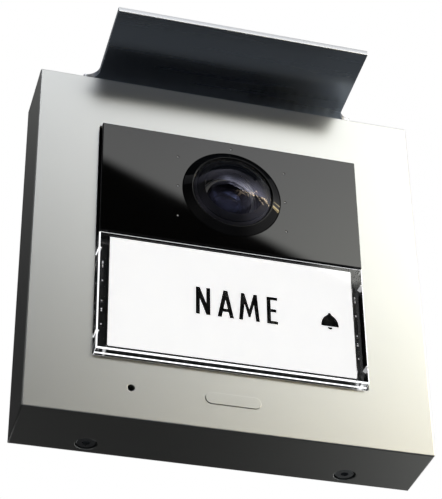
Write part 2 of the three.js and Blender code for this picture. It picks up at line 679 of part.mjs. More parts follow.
/** The clear cover, open at its top so that the card slides in from above. */
function pushCover() {
  const half = INSERT_WIDTH / 2;
  const top = -SPLIT_GAP / 2;
  const back = INSERT_FRONT + COVER_DEPTH;
  const inner = half - COVER_SIDE;
  const cardFoot = top - 0.1 - CARD_HEIGHT - 0.1;
  const pocketFront = INSERT_FRONT + COVER_WALL;
  let cover = insertPlate([-half, half], [-INSERT_HALF_HEIGHT, top], [INSERT_FRONT, back]);
  cover = cover.subtract(block([-inner, inner], [pocketFront, back + 1], [cardFoot, top + 1]));
  for (const side of [-1, 1]) {
    for (const notch of [-5.6, -31.6]) {
      cover = cover.subtract(blockAt(side * half, notch, 1.6, 1.1, [INSERT_FRONT - 1, back + 1]));
    }
  }
  return cover;
}

function nameCard() {
  const top = -SPLIT_GAP / 2 - 0.1;
  return block(
    [-CARD_WIDTH / 2, CARD_WIDTH / 2], [CARD_FRONT, CARD_FRONT + CARD_THICKNESS], [top - CARD_HEIGHT, top],
  );
}

/** The opal plate that spreads the light behind the card. */
function diffuser() {
  const top = -SPLIT_GAP / 2 - 0.4;
  const front = CARD_FRONT + CARD_THICKNESS + 0.1;
  const half = CARD_WIDTH / 2 - 0.2;
  return block([-half, half], [front, front + 2.1], [top - CARD_HEIGHT + 0.5, top]);
}

/** The moving carrier behind the cover, with its hooks, spring pegs and switch pushers. */
function pushCarrier() {
  const centre = -INSERT_HALF_HEIGHT / 2;
  let carrier = blockAt(0, centre - 0.1, 73.4, 35.8, [CARRIER_FRONT, CARRIER_BACK]);
  carrier = carrier.subtract(blockAt(0, centre, 30, 22, [CARRIER_FRONT - 1, CARRIER_BACK + 1]));
  for (const side of [-1, 1]) {
    const pusherEnd = FLOOR_FRONT - 0.05;
    carrier = carrier.add(rod(side * SWITCH_COLUMN, centre, 2.2, [CARRIER_BACK - 0.2, pusherEnd]));
    const peg = [CARRIER_BACK - 0.2, CARRIER_BACK + 1.8];
    carrier = carrier.add(rod(side * SPRING_COLUMN, centre, 1.5, peg));
    for (const level of [-1, 1]) {
      const height = centre + level * HOOK_ROW;
      const column = side * HOOK_COLUMN;
      const barb = blockAt(column, height + level * 0.9, 4, 1.4, [FLOOR_BACK + 0.3, FLOOR_BACK + 1.4]);
      carrier = carrier.add(blockAt(column, height, 4, 1.4, [CARRIER_BACK - 0.2, FLOOR_BACK + 1.4]));
      carrier = carrier.add(barb);
    }
  }
  return carrier;
}

/** The centre line of a coil spring along Y. */
class CoilLine extends THREE.Curve {
  constructor(x, z, radius, [start, end], turns) {
    super();
    Object.assign(this, { x, z, radius, start, end, turns });
  }

  getPoint(share, target = new THREE.Vector3()) {
    const angle = share * this.turns * Math.PI * 2;
    const depth = this.start + (this.end - this.start) * share;
    return target.set(
      this.x + this.radius * Math.cos(angle), depth, this.z + this.radius * Math.sin(angle),
    );
  }
}

function returnSpring(x) {
  const wire = 0.22;
  const cupFloor = FLOOR_BACK + 1.8;
  const line = new CoilLine(
    x, -INSERT_HALF_HEIGHT / 2, 2.25, [cupFloor - wire - 0.1, CARRIER_BACK + wire + 0.1], 4.5,
  );
  const section = outlineShape(arc(0, 0, wire, 0, Math.PI * 2 * 5 / 6, 5));
  return toSolid(new THREE.ExtrudeGeometry(section, { steps: 45, extrudePath: line, bevelEnabled: false }));
}

function switchBody(x) {
  const centre = -INSERT_HALF_HEIGHT / 2;
  const body = blockAt(x, centre, 6, 6, [FLOOR_BACK - 0.5, BOARD_FRONT - 0.1]);
  return body.subtract(rod(x, centre, 2.05, [FLOOR_BACK - 2, FLOOR_BACK + 1.1]));
}

function switchPlunger(x) {
  return rod(x, -INSERT_HALF_HEIGHT / 2, 1.75, [FLOOR_FRONT + 0.1, FLOOR_BACK + 0.2]);
}

/** A small lamp on the main board that lights the card from behind. */
function cardLamp(x) {
  return blockAt(x, -INSERT_HALF_HEIGHT / 2, 3, 3, [BOARD_FRONT - 1.1, BOARD_FRONT - 0.1]);
}

// ---------------------------------------------------------------- electronics

function mainBoard() {
  let board = block([-BOARD_HALF_SIZE, BOARD_HALF_SIZE], [BOARD_FRONT, BOARD_BACK], [-40.6, 40.6]);
  for (const side of [-1, 1]) {
    for (const level of [-1, 1]) {
      const depth = [BOARD_FRONT - 1, BOARD_BACK + 1];
      board = board.subtract(rod(side * BOARD_SCREW_COLUMN, level * BOARD_SCREW_HEIGHT, 1.5, depth));
    }
  }
  return board;
}

/** The rubber boot that seals the microphone to the hole in the case. */
function microphoneBoot() {
  const front = FRONT_INSIDE + 0.1;
  const back = FLOOR_BACK + 0.3;
  const outline = [
    [3.15, back], [4.3, back], [4.3, front], [1, front], [1, back - 2.4], [3.15, back - 2.4], [3.15, back],
  ];
  return turned(MIC_COLUMN, MIC_HEIGHT, outline, 20);
}

function microphoneCapsule() {
  return rod(MIC_COLUMN, MIC_HEIGHT, 3, [FLOOR_BACK - 1.9, FLOOR_BACK + 0.1], 20);
}

/** An oblong with round ends in plan, used for the speaker's pieces. */
function oblong(length, breadth, [z0, z1]) {
  const radius = breadth / 2;
  const shape = rectangle([-length / 2, length / 2], [-radius, radius], radius, 5);
  const geometry = new THREE.ExtrudeGeometry(shape, { depth: z1 - z0, bevelEnabled: false });
  geometry.translate(SPEAKER_COLUMN, SPEAKER_DEPTH, z0);
  return toSolid(geometry);
}

function speakerGasket() {
  const depth = [SPEAKER_TOP + 0.1, CASE_INSIDE - 0.1];
  const ring = oblong(SPEAKER_LENGTH, SPEAKER_BREADTH, depth);
  return ring.subtract(oblong(SPEAKER_LENGTH - 4, SPEAKER_BREADTH - 4, [depth[0] - 1, depth[1] + 1]));
}

function speakerBasket() {
  const rim = oblong(SPEAKER_LENGTH, SPEAKER_BREADTH, [SPEAKER_TOP - 1.4, SPEAKER_TOP]);
  const bowl = oblong(SPEAKER_LENGTH - 5, SPEAKER_BREADTH - 2, [SPEAKER_TOP - 4.8, SPEAKER_TOP - 1]);
  const hollow = oblong(SPEAKER_LENGTH - 7, SPEAKER_BREADTH - 4, [SPEAKER_TOP - 3.8, SPEAKER_TOP + 1]);
  return rim.add(bowl).subtract(hollow);
}

/** The speaker's cone, an oval dish with a small dome in the middle. */
function speakerCone() {
  const stretch = (SPEAKER_LENGTH - 8) / (SPEAKER_BREADTH - 5);
  const reach = (SPEAKER_BREADTH - 5) / 2;
  const outline = [
    [0, -1.4], [0.9, -1.7], [reach - 0.5, -0.5], [reach, -0.5],
    [reach, -0.2], [reach - 0.6, -0.2], [0.9, -1.3], [0, -1],
  ];
  const geometry = spun(outline, 20);
  geometry.scale(stretch, 1, 1);
  geometry.rotateX(Math.PI / 2);
  geometry.translate(SPEAKER_COLUMN, SPEAKER_DEPTH, SPEAKER_TOP);
  return toSolid(geometry);
}

function speakerMagnet() {
  return block(
    [SPEAKER_COLUMN - 7, SPEAKER_COLUMN + 7], [SPEAKER_DEPTH - 4.5, SPEAKER_DEPTH + 4.5],
    [SPEAKER_TOP - 7.6, SPEAKER_TOP - 4.9],
  );
}

const TERMINAL_POLES = [-3.8, 3.8];

function terminalBlock() {
  let body = blockAt(0, TERMINAL_HEIGHT, 15, 9, [BOARD_BACK + 0.1, -3.4]);
  for (const pole of TERMINAL_POLES) {
    body = body.subtract(rod(pole, TERMINAL_HEIGHT, 2, [-5.4, -2], 20));
    body = body.subtract(blockAt(pole, TERMINAL_HEIGHT - 3.2, 3.2, 4.6, [-8.2, -5.6]));
  }
  return body;
}

/** A slotted clamping screw in the terminal block. */
function terminalScrew(x) {
  const screw = rod(x, TERMINAL_HEIGHT, 1.7, [-5.3, -3.6], 20);
  return screw.subtract(blockAt(x, TERMINAL_HEIGHT, 4, 0.6, [-4.2, -2]));
}

function trimmerBody() {
  const body = blockAt(TRIMMER_COLUMN, TRIMMER_HEIGHT, 9, 9, [BOARD_BACK + 0.1, -5.2]);
  return body.subtract(rod(TRIMMER_COLUMN, TRIMMER_HEIGHT, 3.4, [-6.8, -4], 20));
}

/** The volume control's turning disc, slotted for a small screwdriver. */
function trimmerRotor() {
  const disc = rod(TRIMMER_COLUMN, TRIMMER_HEIGHT, 3.05, [-6.6, -4.7], 20);
  const slot = blockAt(TRIMMER_COLUMN, TRIMMER_HEIGHT, 0.8, 4.6, [-5.6, -4]);
  const arrow = blockAt(TRIMMER_COLUMN, TRIMMER_HEIGHT + 1.8, 1.8, 0.8, [-5.6, -4]);
  return cut(disc, slot, arrow);
}

// ---------------------------------------------------------------- assembly

addPiece('front_case', frontCase(), SATIN_ALUMINIUM);
addPiece('rear_plate', rearPlate(), BLACK_MATT);
addPiece('cable_grommet', cableGrommet(), SOFT_BLACK);
addPiece('hood', hood(), HOOD_ALUMINIUM);
addPiece('inner_frame', innerFrame(), BLACK_MATT);
addPiece('frame_seal', frameSeal(), SOFT_BLACK);

addPiece('camera_window', cameraWindow(), BLACK_GLOSS);
addPiece('lens_bezel', lensBezel(), BLACK_GLOSS);
addPiece('front_element', frontElement(), LENS_GLASS);
addPiece('lens_spacer', lensSpacer(), BLACK_MATT);
addPiece('second_element', secondElement(), LENS_GLASS);
addPiece('lens_barrel', lensBarrel(), BLACK_MATT);
addPiece('lens_holder', lensHolder(), BLACK_MATT);
addPiece('image_sensor', imageSensor(), SENSOR_BLUE);
addPiece('camera_board', cameraBoard(), GREEN_BOARD);
addPiece('lamp_board', lampBoard(), GREEN_BOARD);
addPiece('light_sensor', roundNosedLamp(0, LIGHT_SENSOR_HEIGHT), CLEAR);

addPiece('push_cover', pushCover(), CLEAR);
addPiece('name_card', nameCard(), WHITE_CARD);
addPiece('diffuser', diffuser(), OPAL);
addPiece('push_carrier', pushCarrier(), BLACK_MATT);

addPiece('main_board', mainBoard(), GREEN_BOARD);
addPiece('mic_boot', microphoneBoot(), SOFT_BLACK);
addPiece('mic_capsule', microphoneCapsule(), ZINC_STEEL);
addPiece('speaker_basket', speakerBasket(), GREY_PLASTIC);
addPiece('speaker_cone', speakerCone(), PAPER_CONE);
addPiece('speaker_magnet', speakerMagnet(), ZINC_STEEL);
addPiece('speaker_gasket', speakerGasket(), SOFT_BLACK);
addPiece('terminal_block', terminalBlock(), GREEN_PLASTIC);
addPiece('volume_trimmer', trimmerBody(), BLUE_PLASTIC);
addPiece('volume_rotor', trimmerRotor(), WHITE_CARD);

LED_ROWS.forEach((row, index) => {
  addPiece(`infrared_lamp_left_${index + 1}`, roundNosedLamp(-LED_COLUMN, row), CLEAR);
  addPiece(`infrared_lamp_right_${index + 1}`, roundNosedLamp(LED_COLUMN, row), CLEAR);
});

TERMINAL_POLES.forEach((pole, index) => {
  addPiece(`terminal_screw_${index + 1}`, terminalScrew(pole), ZINC_STEEL);
});

for (const [side, word] of [[-1, 'left'], [1, 'right']]) {
  addPiece(`hood_screw_${word}`, hoodScrew(side * HOOD_SCREW_COLUMN), ZINC_STEEL);
  addPiece(`case_screw_${word}`, caseScrew(side * CASE_SCREW_COLUMN), ZINC_STEEL);
  addPiece(`case_insert_${word}`, caseInsert(side * CASE_SCREW_COLUMN), BRASS);
  addPiece(`push_spring_${word}`, returnSpring(side * SPRING_COLUMN), COPPER_SPRING);
  addPiece(`switch_body_${word}`, switchBody(side * SWITCH_COLUMN), BLACK_MATT);
  addPiece(`switch_plunger_${word}`, switchPlunger(side * SWITCH_COLUMN), GREY_PLASTIC);
  addPiece(`card_lamp_${word}`, cardLamp(side * CARD_LAMP_COLUMN), WHITE_CARD);
  const boardScrew = panScrew(side * BOARD_SCREW_COLUMN, side * BOARD_SCREW_HEIGHT, BOARD_BACK + 0.05, 4.5);
  addPiece(`board_screw_${word}`, boardScrew, ZINC_STEEL);
  for (const [level, place] of [[-1, 'lower'], [1, 'upper']]) {
    const frameScrew = panScrew(
      side * FRAME_SCREW_COLUMN, level * FRAME_SCREW_HEIGHT, FRONT_INSIDE + 6.3, 5.2,
    );
    addPiece(`frame_screw_${place}_${word}`, frameScrew, ZINC_STEEL);
  }
}

export default panel;
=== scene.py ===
"""Looks for a wall-mounted door intercom panel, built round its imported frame.

Shapes are modelled in millimetres in the frame's own axes (+X right, +Z up, the front looks along -Y)
and handed over in metres. Each sub-assembly is a class that holds its sizes, builds its meshes and
dresses them.
"""

from __future__ import annotations

import logging
import math
from dataclasses import dataclass
from enum import Enum
from typing import Callable, Sequence

import bmesh
import bpy
from mathutils import Matrix, Vector


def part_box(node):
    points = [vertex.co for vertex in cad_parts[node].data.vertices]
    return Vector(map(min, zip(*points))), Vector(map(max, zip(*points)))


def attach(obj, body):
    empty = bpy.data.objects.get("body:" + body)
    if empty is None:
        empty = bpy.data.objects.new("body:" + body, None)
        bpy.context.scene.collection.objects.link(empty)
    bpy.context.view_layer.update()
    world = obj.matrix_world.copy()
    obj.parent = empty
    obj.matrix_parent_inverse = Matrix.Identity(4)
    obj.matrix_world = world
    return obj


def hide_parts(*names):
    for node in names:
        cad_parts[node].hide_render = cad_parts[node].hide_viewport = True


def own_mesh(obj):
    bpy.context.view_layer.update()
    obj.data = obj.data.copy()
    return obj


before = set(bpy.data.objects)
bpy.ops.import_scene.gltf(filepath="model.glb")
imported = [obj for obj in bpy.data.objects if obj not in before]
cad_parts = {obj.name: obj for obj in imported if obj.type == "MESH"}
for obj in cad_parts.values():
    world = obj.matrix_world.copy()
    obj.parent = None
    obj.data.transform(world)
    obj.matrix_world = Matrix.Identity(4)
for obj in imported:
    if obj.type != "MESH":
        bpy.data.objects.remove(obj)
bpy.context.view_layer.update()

LOG = logging.getLogger("intercom")
METRE = 1000.0
TAU = 2 * math.pi
NEAR = 0.01
HANDS = ("left", "right")
Point = tuple[float, float]
Span = tuple[float, float]
Tree = bpy.types.NodeTree
Node = bpy.types.Node
Socket = bpy.types.NodeSocket


class Body(Enum):
    """The bodies of the frame that new pieces ride on."""

    HOUSING = "housing"
    PUSH = "bell_push"


class Cut(Enum):
    """What one solid does to another."""

    TAKE = "DIFFERENCE"
    ADD = "UNION"
    KEEP = "INTERSECT"


class Axis(Enum):
    """The direction that an outline is drawn out along."""

    X = "x"
    Y = "y"
    Z = "z"


# ---------------------------------------------------------------- outlines


def arc(centre: Point, radius: float, start: float, end: float, steps: int) -> list[Point]:
    """Points along a round stretch.

    Args:
        centre: Centre of the circle.
        radius: Its radius.
        start: First angle in degrees.
        end: Last angle in degrees.
        steps: Number of straight pieces.

    Returns:
        The points, both ends included.
    """
    angles = [math.radians(start + (end - start) * step / steps) for step in range(steps + 1)]
    return [(centre[0] + radius * math.cos(a), centre[1] + radius * math.sin(a)) for a in angles]


def rectangle(across: Span, up: Span, radius: float = 0.0, steps: int = 8) -> list[Point]:
    """The outline of a rectangle, anticlockwise.

    Args:
        across: Lowest and highest first coordinate.
        up: Lowest and highest second coordinate.
        radius: Corner radius, or 0 for square corners.
        steps: Straight pieces in each round corner.

    Returns:
        The outline's points.
    """
    corners = [
        (across[1], up[0], -90),
        (across[1], up[1], 0),
        (across[0], up[1], 90),
        (across[0], up[0], 180),
    ]
    if radius <= 0:
        return [(a, b) for a, b, _ in corners]
    inner = [
        (a - math.copysign(radius, a - sum(across) / 2), b - math.copysign(radius, b - sum(up) / 2), turn)
        for a, b, turn in corners
    ]
    outline = [p for a, b, turn in inner for p in arc((a, b), radius, turn, turn + 90, steps)]
    return [p for i, p in enumerate(outline) if math.dist(p, outline[i - 1]) > 1e-4]


def cap(rim: float, depth: float, height: float, steps: int) -> list[Point]:
    """A spherical cap's profile, from its rim to its tip on the axis, rising towards -Y.

    Args:
        rim: Radius of the rim.
        depth: Y of the rim.
        height: How far the tip stands in front of the rim.
        steps: Number of straight pieces.

    Returns:
        Points of (radius, y).
    """
    radius = (rim**2 + height**2) / (2 * height)
    half = math.asin(min(1.0, rim / radius))
    centre = depth - height + radius
    angles = [half * (1 - step / steps) for step in range(steps + 1)]
    return [(radius * math.sin(a), centre - radius * math.cos(a)) for a in angles]


# ---------------------------------------------------------------- solids


def at(value: float, place: float) -> bool:
    """Whether a coordinate is at a place."""
    return abs(value - place) < NEAR


@dataclass(frozen=True)
class Extent:
    """The box of a CAD node at rest, in millimetres."""

    low: Vector
    high: Vector

    @classmethod
    def of(cls, node: str) -> Extent:
        """Reads the box of the named CAD node."""
        low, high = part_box(node)
        return cls(low * METRE, high * METRE)

    @property
    def centre(self) -> Vector:
        """Middle of the box."""
        return (self.low + self.high) / 2

    def span(self, axis: int) -> Span:
        """Lowest and highest coordinate along one axis."""
        return self.low[axis], self.high[axis]


class Solid:
    """A closed mesh in millimetres that is cut, joined and rounded before it is handed over."""

    def __init__(self, mesh: bmesh.types.BMesh) -> None:
        """Keeps the mesh as a scratch object."""
        bmesh.ops.recalc_face_normals(mesh, faces=mesh.faces)
        data = bpy.data.meshes.new("scratch")
        mesh.to_mesh(data)
        mesh.free()
        self.body = bpy.data.objects.new("scratch", data)
        bpy.context.scene.collection.objects.link(self.body)

    @classmethod
    def prism(cls, outline: Sequence[Point], span: Span, axis: Axis = Axis.Y) -> Solid:
        """An outline drawn out along an axis.

        Args:
            outline: Points of (x, z) along Y, (x, y) along Z or (y, z) along X.
            span: First and last coordinate along the axis.
            axis: The axis it is drawn out along.

        Returns:
            The closed solid.
        """
        place = {
            Axis.X: lambda a, b, t: (t, a, b),
            Axis.Y: lambda a, b, t: (a, t, b),
            Axis.Z: lambda a, b, t: (a, b, t),
        }[axis]
        mesh = bmesh.new()
        rims = [[mesh.verts.new(place(a, b, t)) for a, b in outline] for t in span]
        for rim in rims:
            mesh.faces.new(rim)
        for i in range(len(outline)):
            mesh.faces.new((rims[0][i - 1], rims[0][i], rims[1][i], rims[1][i - 1]))
        return cls(mesh)

    @classmethod
    def block(cls, across: Span, deep: Span, up: Span) -> Solid:
        """A box between its ranges along X, Y and Z."""
        return cls.prism(rectangle(across, up), deep)

    @classmethod
    def turned(cls, profile: Sequence[Point], x: float, z: float, sides: int = 96) -> Solid:
        """A piece turned about an axis along Y.

        Args:
            profile: Points of (radius, y), closed on itself or ending on the axis.
            x: Where the axis stands.
            z: Where the axis stands.
            sides: Number of flat sides round it.

        Returns:
            The closed solid.
        """
        mesh = bmesh.new()
        rings = []
        for radius, y in profile:
            if radius < 1e-5:
                rings.append([mesh.verts.new((x, y, z))])
                continue
            turns = [TAU * k / sides for k in range(sides)]
            rings.append(
                [mesh.verts.new((x + radius * math.cos(t), y, z + radius * math.sin(t))) for t in turns]
            )
        on_axis = len(rings[0]) == 1 and len(rings[-1]) == 1
        pairs = list(zip(rings, rings[1:])) + ([] if on_axis else [(rings[-1], rings[0])])
        for first, second in pairs:
            for k in range(sides):
                corners = [first[k % len(first)], first[(k + 1) % len(first)]]
                corners += [second[(k + 1) % len(second)], second[k % len(second)]]
                whole = list(dict.fromkeys(corners))
                if len(whole) > 2:
                    mesh.faces.new(whole)
        return cls(mesh)

    @classmethod
    def upright(cls, profile: Sequence[Point], x: float, y: float, sides: int = 64) -> Solid:
        """A piece turned about an axis along Z, from points of (radius, z)."""
        solid = cls.turned([(radius, -z) for radius, z in profile], 0, 0, sides)
        turn = Matrix.Translation((x, y, 0)) @ Matrix.Rotation(-math.pi / 2, 4, "X")
        solid.body.data.transform(turn)
        return solid

    @classmethod
    def bar(cls, x: float, z: float, radius: float, deep: Span, sides: int = 64) -> Solid:
        """A round bar along Y."""
        profile = [(0, deep[0]), (radius, deep[0]), (radius, deep[1]), (0, deep[1])]
        return cls.turned(profile, x, z, sides)

    def _apply(self) -> None:
        """Makes the result of the modifiers the mesh."""
        graph = bpy.context.evaluated_depsgraph_get()
        data = bpy.data.meshes.new_from_object(self.body.evaluated_get(graph))
        self.body.modifiers.clear()
        old, self.body.data = self.body.data, data
        bpy.data.meshes.remove(old)

    def combine(self, how: Cut, *others: Solid) -> Solid:
        """Cuts, joins or intersects with other solids, which are used up."""
        for other in others:
            modifier = self.body.modifiers.new("cut", "BOOLEAN")
            modifier.operation = how.value
            modifier.solver = "EXACT"
            modifier.object = other.body
            self._apply()
            data = other.body.data
            bpy.data.objects.remove(other.body)
            bpy.data.meshes.remove(data)
        return self

    def take(self, *others: Solid) -> Solid:
        """Cuts other solids away."""
        return self.combine(Cut.TAKE, *others)

    def add(self, *others: Solid) -> Solid:
        """Joins other solids on."""
        return self.combine(Cut.ADD, *others)

    def rounded(
        self,
        width: float,
        segments: int = 3,
        where: Callable[[Vector], bool] = lambda point: True,
        least: float = 35.0,
    ) -> Solid:
        """Rounds sharp edges.

        Args:
            width: Width of the rounding.
            segments: Faces across it.
            where: Test that both ends of a rounded edge pass.
            least: Least angle in degrees between an edge's faces.

        Returns:
            The same solid.
        """
        mesh = bmesh.new()
        mesh.from_mesh(self.body.data)
        bmesh.ops.dissolve_limit(mesh, angle_limit=math.radians(0.5), verts=mesh.verts, edges=mesh.edges)
        chosen = [
            edge
            for edge in mesh.edges
            if len(edge.link_faces) == 2
            and edge.calc_face_angle(0) > math.radians(least)
            and all(where(vertex.co) for vertex in edge.verts)
        ]
        bmesh.ops.bevel(
            mesh,
            geom=chosen,
            offset=width,
            offset_type="OFFSET",
            segments=segments,
            profile=0.5,
            affect="EDGES",
            clamp_overlap=True,
        )
        mesh.to_mesh(self.body.data)
        mesh.free()
        return self

    def hand_over(
        self, name: str, finish: Finish, body: Body, stands_for: Sequence[str] = (), crease: float = 32.0
    ) -> bpy.types.Object:
        """Turns the solid into a finished piece of the panel.

        Args:
            name: The piece's name.
            finish: What it is made of.
            body: The body it rides on.
            stands_for: CAD nodes that it replaces.
            crease: Angle in degrees above which an edge stays crisp.

        Returns:
            The piece.
        """
        piece = self.body
        piece.name = name
        piece.data.name = name
        piece.data.transform(Matrix.Scale(1 / METRE, 4))
        piece.data.materials.clear()
        piece.data.materials.append(finish.material())
        settle_normals(piece, crease)
        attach(piece, body.value)
        if stands_for:
            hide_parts(*stands_for)
        LOG.info("%s: %d faces, rides on %s", name, len(piece.data.polygons), body.value)
        return piece


def settle_normals(piece: bpy.types.Object, crease: float) -> None:
    """Shades a piece smooth, crisp at its creases and flat on its flats.

    Args:
        piece: A mesh object.
        crease: Angle in degrees above which an edge stays crisp.
    """
    for face in piece.data.polygons:
        face.use_smooth = True
    piece.data.set_sharp_from_angle(angle=math.radians(crease))
    weighted = piece.modifiers.new("weighted normals", "WEIGHTED_NORMAL")
    weighted.keep_sharp = True
    weighted.weight = 80


# ---------------------------------------------------------------- finishes


def linear(code: str) -> tuple[float, float, float, float]:
    """Turns an sRGB hex colour into linear RGBA.

    Args:
        code: A colour such as "#c8c9c5".

    Returns:
        Red, green, blue and an alpha of 1.
    """
    shares = [int(code[i : i + 2], 16) / 255 for i in (1, 3, 5)]
    bent = [s / 12.92 if s <= 0.04045 else ((s + 0.055) / 1.055) ** 2.4 for s in shares]
    return bent[0], bent[1], bent[2], 1.0


def add_node(tree: Tree, kind: str, feeds: dict | None = None, **settings: object) -> Node:
    """Adds a node, sets it and links its inputs.

    Args:
        tree: The node tree.
        kind: The node's type, without Blender's leading "ShaderNode".
        feeds: Input name or number, to a value or to the output that feeds it.
        settings: The node's own properties.

    Returns:
        The new node.
    """
    node = tree.nodes.new(f"ShaderNode{kind}")
    for name, value in settings.items():
        setattr(node, name, value)
    for key, value in (feeds or {}).items():
        if isinstance(value, Socket):
            tree.links.new(value, node.inputs[key])
        else:
            node.inputs[key].default_value = value
    return node


def noise(tree: Tree, place: Socket, scale: float, detail: float) -> Socket:
    """Soft clouds that wander round 0.5."""
    return add_node(tree, "TexNoise", {"Vector": place, "Scale": scale, "Detail": detail}).outputs["Fac"]


def map_range(tree: Tree, value: Socket, source: Span, target: Span, **settings: object) -> Socket:
    """Turns values between the ends of one range into values between the ends of another."""
    ends = {"From Min": source[0], "From Max": source[1], "To Min": target[0], "To Max": target[1]}
    return add_node(tree, "MapRange", {"Value": value} | ends, **settings).outputs["Result"]


def maths(tree: Tree, how: str, *values: object) -> Socket:
    """One step of arithmetic."""
    return add_node(tree, "Math", dict(enumerate(values)), operation=how).outputs["Value"]


def blend(tree: Tree, share: Socket, first: object, second: object) -> Socket:
    """Goes from the first colour to the second as the share rises."""
    feeds = {"Factor": share, 6: first, 7: second}
    return add_node(tree, "Mix", feeds, data_type="RGBA").outputs[2]


def forward_share(tree: Tree, band: Span, top: float = 1.0) -> Socket:
    """Picks out the faces that look forward.

    Args:
        tree: The material's node tree.
        band: Y of a face's normal where it counts in full, and where it stops to count.
        top: Value on faces that look forward. It is 0 on the others.

    Returns:
        The value.
    """
    facing = add_node(tree, "TexCoord").outputs["Normal"]
    ahead = add_node(tree, "SeparateXYZ", {"Vector": facing}).outputs["Y"]
    return map_range(tree, ahead, band, (top, 0.0))


def seen_from_inside(tree: Tree, outside: float, inside: float) -> Socket:
    """One value where a face is met from outside, another where it is met from inside."""
    behind = add_node(tree, "NewGeometry").outputs["Backfacing"]
    return map_range(tree, behind, (0.0, 1.0), (outside, inside))


def per_metre(size_mm: float) -> float:
    """Noise scale that gives features of about that size, in an object measured in metres."""
    return METRE / size_mm


@dataclass(frozen=True)
class Finish:
    """A surface: its base colour, how its colour and gloss wander, and its fine relief."""

    name: str
    slot: str
    colour: str
    second: str
    roughness: float
    spread: float = 0.04
    metallic: float = 0.0
    ior: float = 1.5
    mottle_mm: float = 12.0
    grain_mm: float = 0.6
    relief_mm: float = 0.002
    stretch: tuple[float, float, float] = (1.0, 1.0, 1.0)
    shine: float = 0.5

    def material(self) -> bpy.types.Material:
        """Finds or makes the material."""
        return bpy.data.materials.get(self.name) or self._make()

    def _make(self) -> bpy.types.Material:
        """Builds the material's nodes."""
        material = bpy.data.materials.new(self.name)
        material.use_nodes = True
        tree = material.node_tree
        tree.nodes.clear()
        shader = add_node(tree, "BsdfPrincipled", self._constants())
        self.dress(tree, shader, add_node(tree, "TexCoord").outputs["Object"])
        add_node(tree, "OutputMaterial", {"Surface": shader.outputs["BSDF"]})
        return material

    def _constants(self) -> dict:
        """Values that are the same all over the surface."""
        if self.metallic:
            return {"Metallic": self.metallic}
        return {"IOR": self.ior, "Specular IOR Level": self.shine}

    def dress(self, tree: Tree, shader: Node, place: Socket) -> None:
        """Links the patterns of colour, gloss and relief.

        Args:
            tree: The material's node tree.
            shader: Its Principled shader.
            place: Coordinates in metres.
        """
        drawn = add_node(tree, "Mapping", {"Vector": place, "Scale": self.stretch}).outputs["Vector"]
        tree.links.new(self.tint(tree, drawn), shader.inputs["Base Color"])
        # The gloss wanders in patches about a third of the mottle's size.
        patch = noise(tree, drawn, per_metre(self.mottle_mm / 3), 4.0)
        gloss = (max(0.0, self.roughness - self.spread), self.roughness + self.spread)
        tree.links.new(map_range(tree, patch, (0.0, 1.0), gloss), shader.inputs["Roughness"])
        if self.relief_mm > 0:
            depth = self.relief_mm / METRE
            feeds = {"Height": self.relief(tree, drawn), "Strength": 1.0, "Distance": depth}
            tree.links.new(add_node(tree, "Bump", feeds).outputs["Normal"], shader.inputs["Normal"])

    def tint(self, tree: Tree, drawn: Socket) -> Socket:
        """Blends the two colours in soft clouds."""
        cloud = noise(tree, drawn, per_metre(self.mottle_mm), 3.0)
        return blend(tree, cloud, linear(self.colour), linear(self.second))

    def relief(self, tree: Tree, drawn: Socket) -> Socket:
        """Height of the fine grain, between 0 and 1."""
        return noise(tree, drawn, per_metre(self.grain_mm), 2.0)


@dataclass(frozen=True)
class ClearFinish(Finish):
    """A clear or smoked material that light passes through."""

    passes: float = 1.0
    glint: str = "#ffffff"

    def _constants(self) -> dict:
        """Adds how much light passes and the colour of the glints."""
        own = {"Transmission Weight": self.passes, "Specular Tint": linear(self.glint)}
        return super()._constants() | own


@dataclass(frozen=True)
class CoatedGlassFinish(ClearFinish):
    """Glass that glints outside, while its inner faces are coated against reflections."""

    inner_shine: float = 0.03

    def dress(self, tree: Tree, shader: Node, place: Socket) -> None:
        """Weakens the reflections where light meets a face from inside the glass.

        Args:
            tree: The material's node tree.
            shader: Its Principled shader.
            place: Coordinates in metres.
        """
        super().dress(tree, shader, place)
        level = seen_from_inside(tree, self.shine, self.inner_shine)
        tree.links.new(level, shader.inputs["Specular IOR Level"])


@dataclass(frozen=True)
class PaintedGlowFinish(Finish):
    """A white sheet with a painted glow: a faint emission that stands in for light on it."""

    # Strength of the painted glow.
    glow: float = 0.3

    def _constants(self) -> dict:
        """Adds the glow."""
        return super()._constants() | {"Emission Color": linear("#fefeff"), "Emission Strength": self.glow}


@dataclass(frozen=True)
class PaintedGlowShadedEdgeFinish(PaintedGlowFinish):
    """A sheet with a painted glow on its front only, and black edges that are painted shade."""

    # paint is the black of the painted shade on the edges.
    paint: str = "#0a0a0a"
    front: Span = (-0.95, -0.8)

    def tint(self, tree: Tree, drawn: Socket) -> Socket:
        """Shows the sheet's own colour on faces that look forward, and black painted shade elsewhere."""
        own = super().tint(tree, drawn)
        return blend(tree, forward_share(tree, self.front), linear(self.paint), own)

    def dress(self, tree: Tree, shader: Node, place: Socket) -> None:
        """Keeps the glow to the front.

        Args:
            tree: The material's node tree.
            shader: Its Principled shader.
            place: Coordinates in metres.
        """
        super().dress(tree, shader, place)
        tree.links.new(forward_share(tree, self.front, self.glow), shader.inputs["Emission Strength"])


